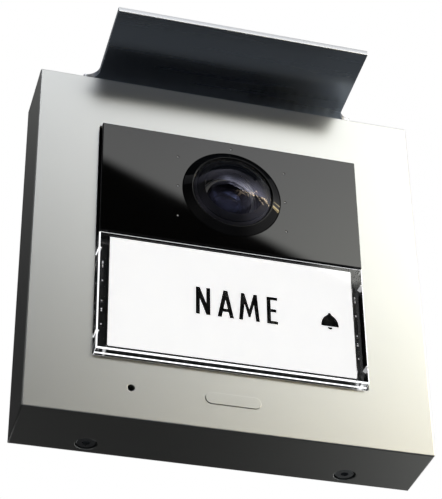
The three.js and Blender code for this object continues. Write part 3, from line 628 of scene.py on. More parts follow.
@dataclass(frozen=True)
class PaintedEdgeHighlightFinish(ClearFinish):
    """A clear material with a painted highlight: emission on its slanting faces."""

    edge_highlight: float = 1.0
    seen_through: float = 0.45

    def dress(self, tree: Tree, shader: Node, place: Socket) -> None:
        """Adds a painted highlight, an emission, wherever a face slants, and keeps the flat faces clear.

        Args:
            tree: The material's node tree.
            shader: Its Principled shader.
            place: Coordinates in metres.
        """
        super().dress(tree, shader, place)
        facing = add_node(tree, "TexCoord").outputs["Normal"]
        size = add_node(tree, "VectorMath", {0: facing}, operation="ABSOLUTE").outputs["Vector"]
        parts = add_node(tree, "SeparateXYZ", {"Vector": size}).outputs
        most = maths(tree, "MAXIMUM", maths(tree, "MAXIMUM", parts["X"], parts["Y"]), parts["Z"])
        # A face whose normal lies within 26 degrees of an axis is flat; one at 42 degrees slants.
        # glow holds the strength of the painted highlight on each face.
        glow = map_range(tree, most, (0.74, 0.9), (self.edge_highlight, 0.0))
        shown = maths(tree, "MULTIPLY", glow, seen_from_inside(tree, 1.0, self.seen_through))
        tree.links.new(shown, shader.inputs["Emission Strength"])

    def _constants(self) -> dict:
        """Adds the colour of the painted edge highlight."""
        return super()._constants() | {"Emission Color": linear("#fcfdff")}


@dataclass(frozen=True)
class BareOrHighlitFrontFinish(Finish):
    """A coated material with another colour on the faces that look forward: bare metal where it was cut, or
    a painted highlight where light falls on them.
    """

    bare_or_highlight: str = "#f2f3f3"

    def tint(self, tree: Tree, drawn: Socket) -> Socket:
        """Shows the bare metal or the painted highlight on faces that look forward."""
        coat = super().tint(tree, drawn)
        return blend(tree, forward_share(tree, (-0.8, -0.6)), coat, linear(self.bare_or_highlight))


@dataclass(frozen=True)
class BoardFinish(Finish):
    """Solder mask over copper tracks."""

    track_mm: float = 1.2

    def relief(self, tree: Tree, drawn: Socket) -> Socket:
        """Height of tracks that turn at right angles under the solder mask."""
        feeds = {"Vector": drawn, "Scale": per_metre(self.track_mm * 3), "Randomness": 0.8}
        tracks = add_node(tree, "TexVoronoi", feeds, distance="CHEBYCHEV").outputs["Distance"]
        return maths(tree, "PINGPONG", tracks, 0.25)


# Die-cast aluminium, glass-bead blasted and clear anodised: an even, soft silver sheen.
# The real bead marks are about 0.1 mm wide, too fine to show, so they are drawn at 0.6 mm.
CASE_ALUMINIUM = Finish(
    "bead_blasted_anodised_aluminium", "satin_aluminium", "#dfe0dd", "#dbdcda", 0.29, 0.006, 1.0,
    mottle_mm=25, grain_mm=0.6, relief_mm=0.0008,
)
# Rolled aluminium sheet, brushed along its width and anodised: a cool, soft, faintly streaky sheen.
# The front edge is machined after anodising, so it is bare and bright.
HOOD_ALUMINIUM = BareOrHighlitFrontFinish(
    "brushed_anodised_aluminium_sheet", "hood_aluminium", "#cdd5e2", "#c3cbd9", 0.27, 0.02, 1.0,
    mottle_mm=9, grain_mm=0.5, relief_mm=0.0006, stretch=(0.05, 1.0, 1.0),
)
# Black PMMA, moulded against a polished tool: a deep mirror-like black.
BLACK_ACRYLIC = Finish(
    "gloss_black_acrylic", "black_acrylic", "#050505", "#070707", 0.02, 0.008, 0.0, 1.49,
    mottle_mm=40, grain_mm=6, relief_mm=0.0001,
)
# Clear PMMA, injection moulded: glass-like, with a faint flow ripple.
# Its bevels and nicks carry a painted highlight, an emission on every slanting face.
CLEAR_ACRYLIC = PaintedEdgeHighlightFinish(
    "clear_acrylic_moulding", "clear_acrylic", "#fdfdfd", "#fbfbfb", 0.004, 0.004, 0.0, 1.49,
    mottle_mm=25, grain_mm=7, relief_mm=0.0004, edge_highlight=1.35,
)
# Opal PMMA sheet: milky, with a soft skin, a painted glow on its front and black painted shade on its
# edges.
OPAL_ACRYLIC = PaintedGlowShadedEdgeFinish(
    "opal_acrylic_sheet", "opal_acrylic", "#f2f3f0", "#eceeea", 0.4, 0.05, 0.0, 1.49,
    mottle_mm=18, grain_mm=0.8, relief_mm=0.001, glow=1.0,
)
# Coated card stock: matt white with a barely visible fibre, a painted glow on its front and black painted
# shade on its edges.
WHITE_CARD = PaintedGlowShadedEdgeFinish(
    "coated_white_card", "white_card", "#f7f8f8", "#f4f5f5", 0.55, 0.05, 0.0, 1.48,
    mottle_mm=6, grain_mm=0.7, relief_mm=0.0015, glow=0.81,
)
# Toner on card: near-black, slightly glossier than the card.
BLACK_TONER = Finish(
    "black_toner_print", "white_card", "#030303", "#060607", 0.55, 0.06, 0.0, 1.5,
    mottle_mm=1.5, grain_mm=0.4, relief_mm=0.001, shine=0.2,
)
# Black ABS, moulded in a spark-eroded tool: matt with a fine pebble of about 0.3 mm.
BLACK_ABS = Finish(
    "spark_eroded_black_abs", "black_abs", "#161718", "#1b1c1d", 0.55, 0.06, 0.0, 1.53,
    mottle_mm=14, grain_mm=0.45, relief_mm=0.012,
)
# Black polycarbonate lens ring, moulded gloss.
GLOSS_RING = Finish(
    "polished_black_polycarbonate", "black_acrylic", "#050506", "#070708", 0.04, 0.01, 0.0, 1.49,
    mottle_mm=10, grain_mm=2, relief_mm=0.0004, shine=0.25,
)
# Aluminium lens cell, turned and black anodised: fine turning rings and a grey sheen.
LENS_CELL = Finish(
    "black_anodised_lens_cell", "black_abs", "#070708", "#0b0b0c", 0.5, 0.04, 0.0, 1.6,
    mottle_mm=4, grain_mm=0.4, relief_mm=0.003, shine=0.15,
)
# EPDM rubber, compression moulded: dull black with a bloom.
RUBBER = Finish(
    "moulded_epdm_rubber", "black_rubber", "#1a1b1b", "#242525", 0.8, 0.08, 0.0, 1.52,
    mottle_mm=5, grain_mm=0.5, relief_mm=0.01,
)
# The ring between the glasses, black anodised: its threads stay black, and the flat lands that the glass
# rests on carry a grey painted highlight where they look forward.
SPACER_RING = BareOrHighlitFrontFinish(
    "dull_anodised_spacer_ring", "black_abs", "#09090a", "#0d0d0e", 0.5, 0.04, 0.0, 1.6,
    mottle_mm=4, grain_mm=0.4, relief_mm=0.003, bare_or_highlight="#d8d8dc",
)
# Crown glass, polished, with a thin anti-reflection coating that glints lavender.
LENS_GLASS = CoatedGlassFinish(
    "coated_crown_glass", "lens_glass", "#eaebf0", "#e8e9ee", 0.0, 0.0, 0.0, 1.52,
    mottle_mm=30, grain_mm=9, relief_mm=0.0, glint="#d6d4f8", shine=0.62,
)
# Smoked glass inside the lens, where a better coating leaves only a faint glint: it reads as black.
INNER_GLASS = ClearFinish(
    "multicoated_crown_glass", "lens_glass", "#74757c", "#707178", 0.0, 0.0, 0.0, 1.52,
    mottle_mm=30, grain_mm=9, relief_mm=0.0, glint="#a9b4ff", shine=0.03,
)
# Matt black lacquer on the rim of the front glass, which stops stray light.
EDGE_LACQUER = Finish(
    "matt_black_edge_lacquer", "black_abs", "#050506", "#08080a", 0.5, 0.05, 0.0, 1.5,
    mottle_mm=4, grain_mm=0.5, relief_mm=0.003,
)
# The ground outer rim of the front glass, seen through it: a dull dark grey band.
GROUND_RIM = Finish(
    "ground_glass_rim", "lens_glass", "#4a4a4d", "#424245", 0.6, 0.05, 0.0, 1.52,
    mottle_mm=4, grain_mm=0.5, relief_mm=0.003,
)
# Clear epoxy of the lamps: water clear with a soft surface.
CLEAR_EPOXY = ClearFinish(
    "cast_clear_epoxy", "clear_resin", "#eef0f4", "#e8eaf0", 0.03, 0.01, 0.0, 1.54,
    mottle_mm=3, grain_mm=1, relief_mm=0.0006,
)
# A painted glint: a small faintly glowing speck set in the window's dimple in front of each lamp.
PAINTED_GLINT_SPECK = PaintedGlowFinish(
    "painted_glint_speck", "clear_resin", "#b9bcc4", "#a6a9b2", 0.3, 0.05, 0.0, 1.54,
    mottle_mm=1, grain_mm=0.3, relief_mm=0.001, glow=0.3,
)
# Glass-fibre board under green solder mask: glossy green over raised tracks.
CIRCUIT_BOARD = BoardFinish(
    "green_solder_mask_board", "circuit_board", "#0f4a31", "#0b3f2a", 0.3, 0.06, 0.0, 1.52,
    mottle_mm=8, grain_mm=1, relief_mm=0.03,
)
# Silicon behind a cover slip: near-black with a violet cast, and shiny.
SENSOR_FACE = Finish(
    "silicon_sensor_face", "sensor_face", "#05060b", "#07060d", 0.12, 0.03, 0.0, 1.6,
    mottle_mm=3, grain_mm=0.3, relief_mm=0.0005,
)
# Steel screws, zinc plated and clear passivated: bluish bright metal with a soft bloom.
ZINC_STEEL = Finish(
    "zinc_plated_steel", "zinc_steel", "#b9bdc1", "#aeb2b4", 0.3, 0.08, 1.0,
    mottle_mm=2, grain_mm=0.4, relief_mm=0.002,
)
# Stainless spring wire, drawn: bright with fine lengthwise streaks.
SPRING_WIRE = Finish(
    "drawn_stainless_wire", "spring_steel", "#a8aaad", "#989a9d", 0.22, 0.06, 1.0,
    mottle_mm=1.5, grain_mm=0.3, relief_mm=0.001,
)
# Free-cutting brass, knurled insert.
BRASS = Finish(
    "turned_brass", "brass", "#c9a34e", "#b8923f", 0.28, 0.06, 1.0,
    mottle_mm=2, grain_mm=0.3, relief_mm=0.003,
)
# Grey ABS, moulded matt.
GREY_ABS = Finish(
    "moulded_grey_abs", "grey_plastic", "#54575a", "#5b5e60", 0.5, 0.06, 0.0, 1.53,
    mottle_mm=8, grain_mm=0.5, relief_mm=0.008,
)
# Pressed paper pulp of the speaker's cone.
PAPER_PULP = Finish(
    "pressed_paper_pulp", "paper_cone", "#2a2826", "#38342f", 0.85, 0.06, 0.0, 1.5,
    mottle_mm=2, grain_mm=0.4, relief_mm=0.03,
)
# Green polyamide of the terminal block.
GREEN_POLYAMIDE = Finish(
    "moulded_green_polyamide", "green_plastic", "#22803f", "#2a8c48", 0.42, 0.06, 0.0, 1.53,
    mottle_mm=5, grain_mm=0.5, relief_mm=0.006,
)
# Blue thermoset of the volume control's body.
BLUE_THERMOSET = Finish(
    "moulded_blue_thermoset", "blue_plastic", "#1c4787", "#235094", 0.45, 0.05, 0.0, 1.55,
    mottle_mm=4, grain_mm=0.5, relief_mm=0.005,
)
# White nylon of the disc and the card lamps' cups.
WHITE_NYLON = Finish(
    "moulded_white_nylon", "white_plastic", "#eceae4", "#e4e2dc", 0.45, 0.05, 0.0, 1.53,
    mottle_mm=4, grain_mm=0.5, relief_mm=0.004,
)


# ---------------------------------------------------------------- housing


@dataclass
class CaseShell:
    """The die-cast front case."""

    wall: float = 2.4
    corner: float = 0.5
    front_edge: float = 0.35
    back_edge: float = 1.2
    opening: float = 75.0
    opening_edge: float = 0.16
    opening_corner: float = 0.35
    hole_edge: float = 0.14
    recess_edge: float = 0.16
    badge_width: float = 15.0
    badge_height: float = 3.4
    badge_proud: float = 0.25
    hole_radius: float = 0.95
    recess_radius: float = 2.95
    bore_radius: float = 1.75
    slot_pitch: float = 3.2
    slot_count: int = 9

    def build(self) -> None:
        """Builds the case and its blank badge."""
        box = Extent.of("front_case")
        half = box.high.x
        front = box.low.y + self.badge_proud
        inside = half - self.wall
        inner_front = front + self.wall
        shell = self._outside(half, front)
        hollow = Solid.prism(rectangle((-inside, inside), (-inside, inside), 1.0), (inner_front, 5))
        reach = self.opening / 2
        opening = rectangle((-reach, reach), (-reach, reach), self.opening_corner)
        shell.take(hollow, Solid.prism(opening, (front - 1, inner_front + 1)))
        shell.rounded(
            self.opening_edge, 3, lambda p: at(p.y, front) and max(abs(p.x), abs(p.z)) < reach + NEAR
        )
        shell.take(*self._sound_slots(half))
        root = Extent.of("hood").high.x + 0.4
        shell.take(Solid.block((-root, root), (-2.1, 3), (inside - 1, half + 1)))
        mic = Extent.of("mic_capsule").centre
        shell.take(Solid.bar(mic.x, mic.z, self.hole_radius, (front - 1, inner_front + 1), 48))
        near_hole = self.hole_radius + 0.15
        shell.rounded(
            self.hole_edge,
            2,
            lambda p: at(p.y, front) and math.hypot(p.x - mic.x, p.z - mic.z) < near_hole,
        )
        self._screw_places(shell, half, inside)
        shell.add(self._badge(front))
        shell.hand_over("case_shell", CASE_ALUMINIUM, Body.HOUSING, ["front_case"])

    def _outside(self, half: float, front: float) -> Solid:
        """The outer shape: fine front edges, and soft edges where it meets the wall."""
        fine = Solid.prism(rectangle((-half, half), (-half, half), self.corner, 6), (front, 4))
        fine.rounded(self.front_edge, 3, lambda p: at(p.y, front))
        soft = Solid.prism(rectangle((-half, half), (-half, half)), (front - 4, 0))
        soft.rounded(self.back_edge, 6, lambda p: at(p.y, 0))
        return fine.combine(Cut.KEEP, soft)

    def _sound_slots(self, half: float) -> list[Solid]:
        """Slots for the speaker through the top wall."""
        middle = Extent.of("speaker_cone").centre
        slots = []
        for index in range(self.slot_count):
            x = middle.x + (index - (self.slot_count - 1) / 2) * self.slot_pitch
            outline = rectangle((x - 0.75, x + 0.75), (middle.y - 4, middle.y + 4), 0.7, 5)
            slots.append(Solid.prism(outline, (half - self.wall - 1, half + 1), Axis.Z))
        return slots

    def _screw_places(self, shell: Solid, half: float, inside: float) -> None:
        """Recesses in the bottom face, ledges along the top wall and bosses for the inner frame."""
        for word in HANDS:
            screw = Extent.of(f"case_screw_{word}").centre
            shell.add(Solid.block((screw.x - 5, screw.x + 5), (-9.6, -2.9), (-inside - 0.2, -inside + 1.6)))
            for radius, low, high in (
                (self.recess_radius, -half - 1, -half + 2),
                (self.bore_radius, -half, -inside + 3),
            ):
                round_bar = [(0, low), (radius, low), (radius, high), (0, high)]
                shell.take(Solid.upright(round_bar, screw.x, screw.y))
            side = math.copysign(1, screw.x)
            ledge = sorted((side * 44, side * 51))
            shell.add(Solid.block((ledge[0], ledge[1]), (-6.7, -5), (inside - 2, inside + 0.2)))
            for level in ("lower", "upper"):
                place = Extent.of(f"frame_screw_{level}_{word}").centre
                floor = Extent.of("front_case").low.y + self.badge_proud + self.wall
                boss = Solid.bar(place.x, place.z, 3.2, (floor - 0.2, floor + 4))
                shell.add(boss).take(Solid.bar(place.x, place.z, 1.3, (floor + 0.6, floor + 5), 32))
        screw = Extent.of("case_screw_right").centre
        near_recess = self.recess_radius + 0.25
        shell.rounded(
            self.recess_edge,
            2,
            lambda p: at(p.z, -half) and math.hypot(abs(p.x) - screw.x, p.y - screw.y) < near_recess,
        )

    def _badge(self, front: float) -> Solid:
        """A blank raised lozenge under the push."""
        middle = Extent.of("mic_capsule").centre.z
        outline = rectangle(
            (-self.badge_width / 2, self.badge_width / 2),
            (middle - self.badge_height / 2, middle + self.badge_height / 2),
            self.badge_height / 2 - 0.01, 14,
        )
        lozenge = Solid.prism(outline, (front - self.badge_proud, front + 0.6))
        return lozenge.rounded(0.14, 2, lambda p: p.y < front)


@dataclass
class RainHood:
    """The bent sheet hood and its flange behind the case."""

    sheet: float = 1.75
    bend_radius: float = 1.2
    fillet: float = 4.0
    root_depth: float = 12.0
    blade_width: float = 74.0
    tip_drop: float = 63.9
    root_height: float = 60.8
    wall_gap: float = 0.05

    def build(self) -> None:
        """Builds the hood."""
        box = Extent.of("hood")
        side_view = Solid.prism(self._side_view(box), (-60, 60), Axis.X)
        plan = Solid.prism(self._plan(box.high.x), (20, 80), Axis.Z)
        hood = side_view.combine(Cut.KEEP, plan)
        for word in HANDS:
            screw = Extent.of(f"hood_screw_{word}").centre
            sink = [(0, 0.5), (3.4, 0.5), (3.2, 0), (1.75, -1.4), (1.75, -3), (0, -3)]
            hood.take(Solid.turned(sink, screw.x, screw.z, 48))
        hood.rounded(0.18, 2, least=50)
        hood.hand_over("rain_hood", HOOD_ALUMINIUM, Body.HOUSING, ["hood"])

    def _side_view(self, box: Extent) -> list[Point]:
        """The blade rising gently forward and the flange down the wall, as (y, z)."""
        reach = -box.low.y
        slope = math.atan2(self.tip_drop - self.root_height, reach)
        outer = self.bend_radius + self.sheet
        y = -self.wall_gap - outer
        z = self.root_height - y * math.tan(slope) - self.bend_radius / math.cos(slope)
        start = 90 - math.degrees(slope)
        return [
            (-reach, self.tip_drop),
            *arc((y, z), self.bend_radius, start, 0, 10),
            (-self.wall_gap - self.sheet, box.low.z),
            (-self.wall_gap, box.low.z),
            *arc((y, z), outer, 0, start, 14),
            (-reach + self.sheet * math.sin(slope), self.tip_drop + self.sheet * math.cos(slope)),
        ]

    def _plan(self, root: float) -> list[Point]:
        """The straight blade that widens in a fillet to its root, as (x, y)."""
        half = self.blade_width / 2
        turn = -self.root_depth - self.fillet
        right = arc((root, turn), self.fillet, 180, 90, 12)
        left = arc((-root, turn), self.fillet, 90, 0, 12)
        return [(-half, -60), (half, -60), *right, (root, 5), (-root, 5), *left]


@dataclass
class CaseScrews:
    """The two socket screws that hold the case from below."""

    head_radius: float = 2.65
    shank_radius: float = 1.4
    key_radius: float = 1.15
    key_depth: float = 1.05
    thread_pitch: float = 0.5

    def build(self) -> None:
        """Builds both screws."""
        for word in HANDS:
            node = f"case_screw_{word}"
            box = Extent.of(node)
            x, y = box.centre.x, box.centre.y
            bottom = box.low.z
            neck = bottom + 1.55
            turns = int((box.high.z - neck - 1) / self.thread_pitch)
            thread = []
            for k in range(turns):
                z = neck + 0.8 + k * self.thread_pitch
                thread += [(self.shank_radius - 0.2, z), (self.shank_radius, z + self.thread_pitch / 2)]
            profile = [
                (0, bottom), (self.head_radius - 0.25, bottom), (self.head_radius, bottom + 0.25),
                (self.head_radius, neck - 0.1), (self.head_radius - 0.1, neck), (self.shank_radius, neck),
                *thread, (self.shank_radius - 0.5, box.high.z), (0, box.high.z),
            ]
            screw = Solid.upright(profile, x, y, 48)
            key = arc((x, y), self.key_radius, 0, 300, 5)
            screw.take(Solid.prism(key, (bottom - 1, bottom + self.key_depth), Axis.Z))
            screw.hand_over(f"socket_screw_{word}", ZINC_STEEL, Body.HOUSING, [node])


# ---------------------------------------------------------------- camera


@dataclass
class CameraWindow:
    """The gloss black cover over the camera."""

    edge: float = 0.45
    corner: float = 0.3
    hole_clearance: float = 0.15
    dimple_radius: float = 0.4
    dimple_depth: float = 0.07

    def build(self) -> None:
        """Builds the window with its round hole."""
        box = Extent.of("camera_window")
        bezel = Extent.of("lens_bezel")
        low, high = box.low.y, box.high.y
        plate = Solid.prism(rectangle(box.span(0), box.span(2), self.corner, 5), (low, high))
        plate.rounded(self.edge, 3, lambda p: at(p.y, low))
        radius = (bezel.high.x - bezel.low.x) / 2 + self.hole_clearance
        plate.take(Solid.bar(bezel.centre.x, bezel.centre.z, radius, (low - 1, high + 1), 128))
        plate.take(*[self._dimple(node, low) for node in RoundLamps.nodes()])
        plate.hand_over("window_panel", BLACK_ACRYLIC, Body.HOUSING, ["camera_window"], 20)

    def _dimple(self, node: str, front: float) -> Solid:
        """A shallow round dimple in front of a lamp."""
        place = Extent.of(node).centre
        bowl = [(r, 2 * front - y) for r, y in cap(self.dimple_radius, front, self.dimple_depth, 6)]
        return Solid.turned([(0, front - 1), (self.dimple_radius, front - 1), *bowl], place.x, place.z, 24)


@dataclass
class Lens:
    """The wide-angle lens: its ring, its glass and the cell behind it."""

    bore: float = 11.42
    glass_radius: float = 11.3
    dome_height: float = 4.2
    hollow_radius: float = 8.4
    hollow_depth: float = 5.0
    ground_radius: float = 10.25
    second_radius: float = 6.4

    def build(self) -> None:
        """Builds the ring, both elements, the spacer and the barrel."""
        self._ring()
        self._front_glass()
        self._spacer()
        self._second_glass()
        self._barrel()

    def _turned(
        self, node: str, name: str, finish: Finish, profile: Sequence[Point], crease: float = 32.0
    ) -> None:
        """Turns one piece about the lens axis and hands it over in place of its CAD node."""
        axis = Extent.of("lens_bezel").centre
        solid = Solid.turned(profile, axis.x, axis.z, 144)
        solid.hand_over(name, finish, Body.HOUSING, [node], crease)

    def _ring(self) -> None:
        """The sloping ring, with a fine step inside its lip."""
        box = Extent.of("lens_bezel")
        lip, back, outer = box.low.y, box.high.y, (box.high.x - box.low.x) / 2
        shoulder = Extent.of("camera_window").low.y + 0.15
        bore = self.bore
        profile = [
            (10.7, back), (outer, back), (outer, shoulder), (outer - 0.12, shoulder - 0.16),
            (bore + 0.38, lip + 0.02), (bore + 0.34, lip), (bore + 0.24, lip), (bore + 0.22, lip + 0.02),
            (bore + 0.22, lip + 0.3), (bore + 0.1, lip + 0.3), (bore, lip + 0.36), (bore, back - 0.9),
            (10.7, back - 0.9),
        ]
        self._turned("lens_bezel", "lens_ring", GLOSS_RING, profile, 15)

    def _front_glass(self) -> None:
        """The domed front element with its deep hollow."""
        box = Extent.of("front_element")
        back = box.high.y
        rim = box.low.y + self.dome_height
        hollow = cap(self.hollow_radius, back, self.hollow_depth, 24)[::-1]
        dome = cap(self.glass_radius, rim, self.dome_height, 32)
        profile = [*hollow, (self.glass_radius, back), *dome]
        self._turned("front_element", "front_glass", LENS_GLASS, profile, 25)
        axis = Extent.of("lens_bezel").centre
        inner, outer = self.hollow_radius + 0.05, self.glass_radius - 0.05
        for name, finish, first, last in (
            ("glass_edge_lacquer", EDGE_LACQUER, inner, self.ground_radius),
            ("ground_glass_band", GROUND_RIM, self.ground_radius + 0.02, outer),
        ):
            under = [(r, y + 0.35) for r, y in dome if first < r < last]
            foot = [(first, back - 0.04), (last, back - 0.04), (last, under[0][1] - 0.05)]
            band = Solid.turned([*foot, *under], axis.x, axis.z, 144)
            band.hand_over(name, finish, Body.HOUSING)

    def _spacer(self) -> None:
        """The stepped ring behind the front element, threaded to kill reflections."""
        box = Extent.of("lens_spacer")
        front, back, outer = box.low.y, box.high.y, (box.high.x - box.low.x) / 2
        inner = 6.9
        steps = 4
        rake = []
        for k in range(steps):
            radius = 7.95 - 0.15 * k
            depth = front + 0.5 + (back - 1.0 - front - 0.5) * (k + 0.5) / steps
            rake += [(radius, depth), (radius - 0.15, depth + 0.12)]
        land = back - 0.9
        profile = [
            (inner, back), (outer, back), (outer, front), (8.45, front),
            (8.4, front + 0.1), (8.05, front + 0.1), (8.0, front + 0.5),
            *rake, (7.4, land), (inner, land),
        ]
        self._turned("lens_spacer", "lens_spacer_ring", SPACER_RING, profile, 20)

    def _second_glass(self) -> None:
        """The small element in the mouth of the barrel."""
        box = Extent.of("second_element")
        rim = box.low.y + 2
        profile = [(0, box.high.y), (self.second_radius, box.high.y), *cap(self.second_radius, rim, 2, 20)]
        self._turned("second_element", "second_glass", INNER_GLASS, profile, 25)

    def _barrel(self) -> None:
        """The barrel, with turned steps down to the sensor."""
        box = Extent.of("lens_barrel")
        front, back, flange = box.low.y, box.high.y, (box.high.x - box.low.x) / 2
        throat = []
        for k in range(5):
            radius = 6.2 - 0.55 * k
            depth = front + 1.9 + 0.35 * k
            throat += [(radius, depth), (radius, depth + 0.35)]
        profile = [
            (3.4, back), (5.8, back), (5.8, front + 2.1), (flange - 0.15, front + 1.9),
            (flange, front + 1.75), (flange, front + 0.15), (flange - 0.15, front), (6.85, front),
            (6.7, front + 0.15), (6.7, front + 1.9), *throat,
        ]
        self._turned("lens_barrel", "lens_cell", LENS_CELL, profile)


@dataclass
class RoundLamps:
    """The infrared lamps and the light sensor behind the window."""

    body_radius: float = 1.5
    base_radius: float = 1.9
    nose_height: float = 1.2

    @staticmethod
    def nodes() -> list[str]:
        """Names of the six lamps and the sensor."""
        return [*(f"infrared_lamp_{word}_{k}" for word in HANDS for k in (1, 2, 3)), "light_sensor"]

    def build(self) -> None:
        """Builds each lamp from its CAD node's place."""
        for node in self.nodes():
            box = Extent.of(node)
            rim = box.low.y + self.nose_height
            profile = [
                (0, box.high.y), (self.base_radius, box.high.y), (self.base_radius, box.high.y - 0.8),
                (self.body_radius, box.high.y - 0.8), *cap(self.body_radius, rim, self.nose_height, 10),
            ]
            lamp = Solid.turned(profile, box.centre.x, box.centre.z, 32)
            lamp.hand_over(f"{node}_dome", CLEAR_EPOXY, Body.HOUSING, [node])
            # A painted glint: a small glowing speck in the window's dimple in front of the lamp.
            front = Extent.of("camera_window").low.y + CameraWindow.dimple_depth
            tip = [(0, front - 0.05), (0.13, front - 0.035), (0.2, front + 0.04), (0, front + 0.04)]
            glint_speck = Solid.turned(tip, box.centre.x, box.centre.z, 16)
            glint_speck.hand_over(f"{node}_spot", PAINTED_GLINT_SPECK, Body.HOUSING)


# ---------------------------------------------------------------- bell push


@dataclass
class BellPush:
    """The clear cover with its card, print and opal plate."""

    edge: float = 0.36
    side_edge: float = 0.35
    corner: float = 0.3
    step: float = 0.25
    step_depth: float = -21.25
    wall: float = 1.5
    side_wall: float = 2.9
    notch_reach: float = 0.6
    notch_depth: float = 0.8
    notch_heights: Span = (-5.6, -31.6)
    pips: tuple[Point, ...] = ((-9.0, 3.0), (-14.2, 0.8), (-20.6, 0.7), (-23.4, 1.4), (-27.8, 0.6))
    pip_inset: float = 1.2
    strip: float = 0.75
    ink: float = 0.02
    print_foot: float = 21.35
    print_head: float = 12.8

    def build(self) -> None:
        """Builds the cover and what it holds."""
        self._cover()
        self._card()
        self._print()
        self._opal_plate()

    def _cover(self) -> None:
        """The clear moulding, open at its top."""
        box = Extent.of("push_cover")
        card = Extent.of("name_card")
        front, back = box.low.y, box.high.y
        step = self.step_depth
        low = box.low.z
        back_part = Solid.prism(rectangle(box.span(0), box.span(2), self.corner, 5), (step, back))
        back_part.take(Solid.prism(self._wedge(step, low, self.step), (-60, 60), Axis.X))
        across, up = box.span(0), (low + self.step, box.high.z)
        cover = Solid.prism(rectangle(across, up, self.corner, 5), (front, step + 1))
        cover.take(*self._bevels(across, up, front))
        cover.add(back_part)
        inner = box.high.x - self.side_wall
        pocket = rectangle((-inner, inner), (card.low.z - 0.1, box.high.z + 2), 0.25, 4)
        cover.take(Solid.prism(pocket, (front + self.wall, back + 1)))
        # The notches and nicks take the cover's painted highlight on their slanting faces.
        for side in (-1, 1):
            x, reach, depth = side * box.high.x, self.notch_reach, self.notch_depth
            for height in self.notch_heights:
                notch = [(x, height - reach), (x + depth, height), (x, height + reach), (x - depth, height)]
                cover.take(Solid.prism(notch, (front - 1, back + 1)))
        for side in (-1, 1):
            for height, length in self.pips:
                cover.take(self._pip(side * (inner + self.pip_inset), height, length, back))
        cover.hand_over("clear_cover", CLEAR_ACRYLIC, Body.PUSH, ["push_cover"], 20)

    def _bevels(self, across: Span, up: Span, front: float) -> list[Solid]:
        """What is cut off the front edges: a wide bevel below and narrow ones elsewhere."""
        cuts = []
        for edge, inward in ((up[0], self.edge), (up[1], -self.side_edge)):
            cuts.append(Solid.prism(self._wedge(front, edge, inward), (-60, 60), Axis.X))
        for edge, inward in ((across[0], self.side_edge), (across[1], -self.side_edge)):
            wedge = [(x, y) for y, x in self._wedge(front, edge, inward)]
            cuts.append(Solid.prism(wedge, (-60, 60), Axis.Z))
        return cuts

    @staticmethod
    def _wedge(front: float, edge: float, inward: float) -> list[Point]:
        """The corner that a bevel takes away, seen along the edge, and 1 mm past it.

        Args:
            front: Y of the face in front.
            edge: Where the edge stands across the face.
            inward: Width of the bevel, below 0 where it runs towards lower coordinates.

        Returns:
            Points of (y, place across the face).
        """
        past = math.copysign(1, inward)
        back = front + abs(inward) + 1
        return [(front - 1, edge - past), (front - 1, edge + inward + past), (back, edge - past)]

    def _pip(self, x: float, z: float, length: float, back: float) -> Solid:
        """A small pointed nick in the back of the cover, where the mould's ejectors pressed."""
        cone = Solid.turned([(0, back - 0.5), (0.32, back + 0.2), (0, back + 0.2)], 0, 0, 12)
        cone.body.data.transform(Matrix.Translation((x, 0, z)) @ Matrix.Diagonal((1, 1, length / 0.6, 1)))
        return cone

    def _card(self) -> None:
        """The white card."""
        box = Extent.of("name_card")
        card = Solid.prism(rectangle(box.span(0), box.span(2), 0.4, 4), box.span(1))
        card.rounded(0.04, 1)
        card.hand_over("white_card", WHITE_CARD, Body.PUSH, ["name_card"])

    def _print(self) -> None:
        """A plain placeholder word in straight strokes, and a small bell sign."""
        box = Extent.of("name_card")
        face = box.low.y
        depth = (face - self.ink, face + self.ink)
        for index, stroke in enumerate(self._strokes(box)):
            bar = Solid.prism(stroke, depth)
            if index == 1:
                bar.take(Solid.prism(self._counter(box), (face - 1, face + 1)))
            bar.hand_over(f"card_print_{index + 1}", BLACK_TONER, Body.PUSH)
        strip = Solid.block(box.span(0), depth, (box.high.z - self.strip, box.high.z))
        strip.hand_over("card_top_strip", BLACK_TONER, Body.PUSH)

    def _counter(self, box: Extent) -> list[Point]:
        """The opening in the second letter."""
        bar = box.high.z - self.print_foot + 2.75
        return [(-2.65, bar), (-1.5, bar), (-2.075, bar + 2.9)]

    def _strokes(self, box: Extent) -> list[list[Point]]:
        """Outlines of the printed marks."""
        low, high = box.high.z - self.print_foot, box.high.z - self.print_head
        middle = (low + high) / 2
        n_left, n_right, thick = -10.3, -6.3, 1.1
        letters = [
            [
                (n_left, low), (n_left + thick, low), (n_left + thick, high - 3.6), (n_right - thick, low),
                (n_right, low), (n_right, high), (n_right - thick, high), (n_right - thick, low + 3.6),
                (n_left + thick, high), (n_left, high),
            ],
            [
                (-4.35, low), (-3.2, low), (-2.85, low + 1.75), (-1.3, low + 1.75),
                (-0.95, low), (0.2, low), (-1.5, high), (-2.65, high),
            ],
            [
                (1.6, low), (2.65, low), (3.2, low + 5.2), (4.25, low + 1.1), (4.75, low + 1.1),
                (5.8, low + 5.2), (6.3, low), (7.35, low), (6.7, high), (5.75, high), (4.5, low + 3.6),
                (3.2, high), (2.25, high),
            ],
            [
                (9.4, low), (12.45, low), (12.45, low + 0.95), (10.5, low + 0.95), (10.5, middle - 0.5),
                (12.1, middle - 0.5), (12.1, middle + 0.45), (10.5, middle + 0.45), (10.5, high - 0.95),
                (12.45, high - 0.95), (12.45, high), (9.4, high),
            ],
        ]
        return [*letters, *self._bell(27.15, low + 1.8)]

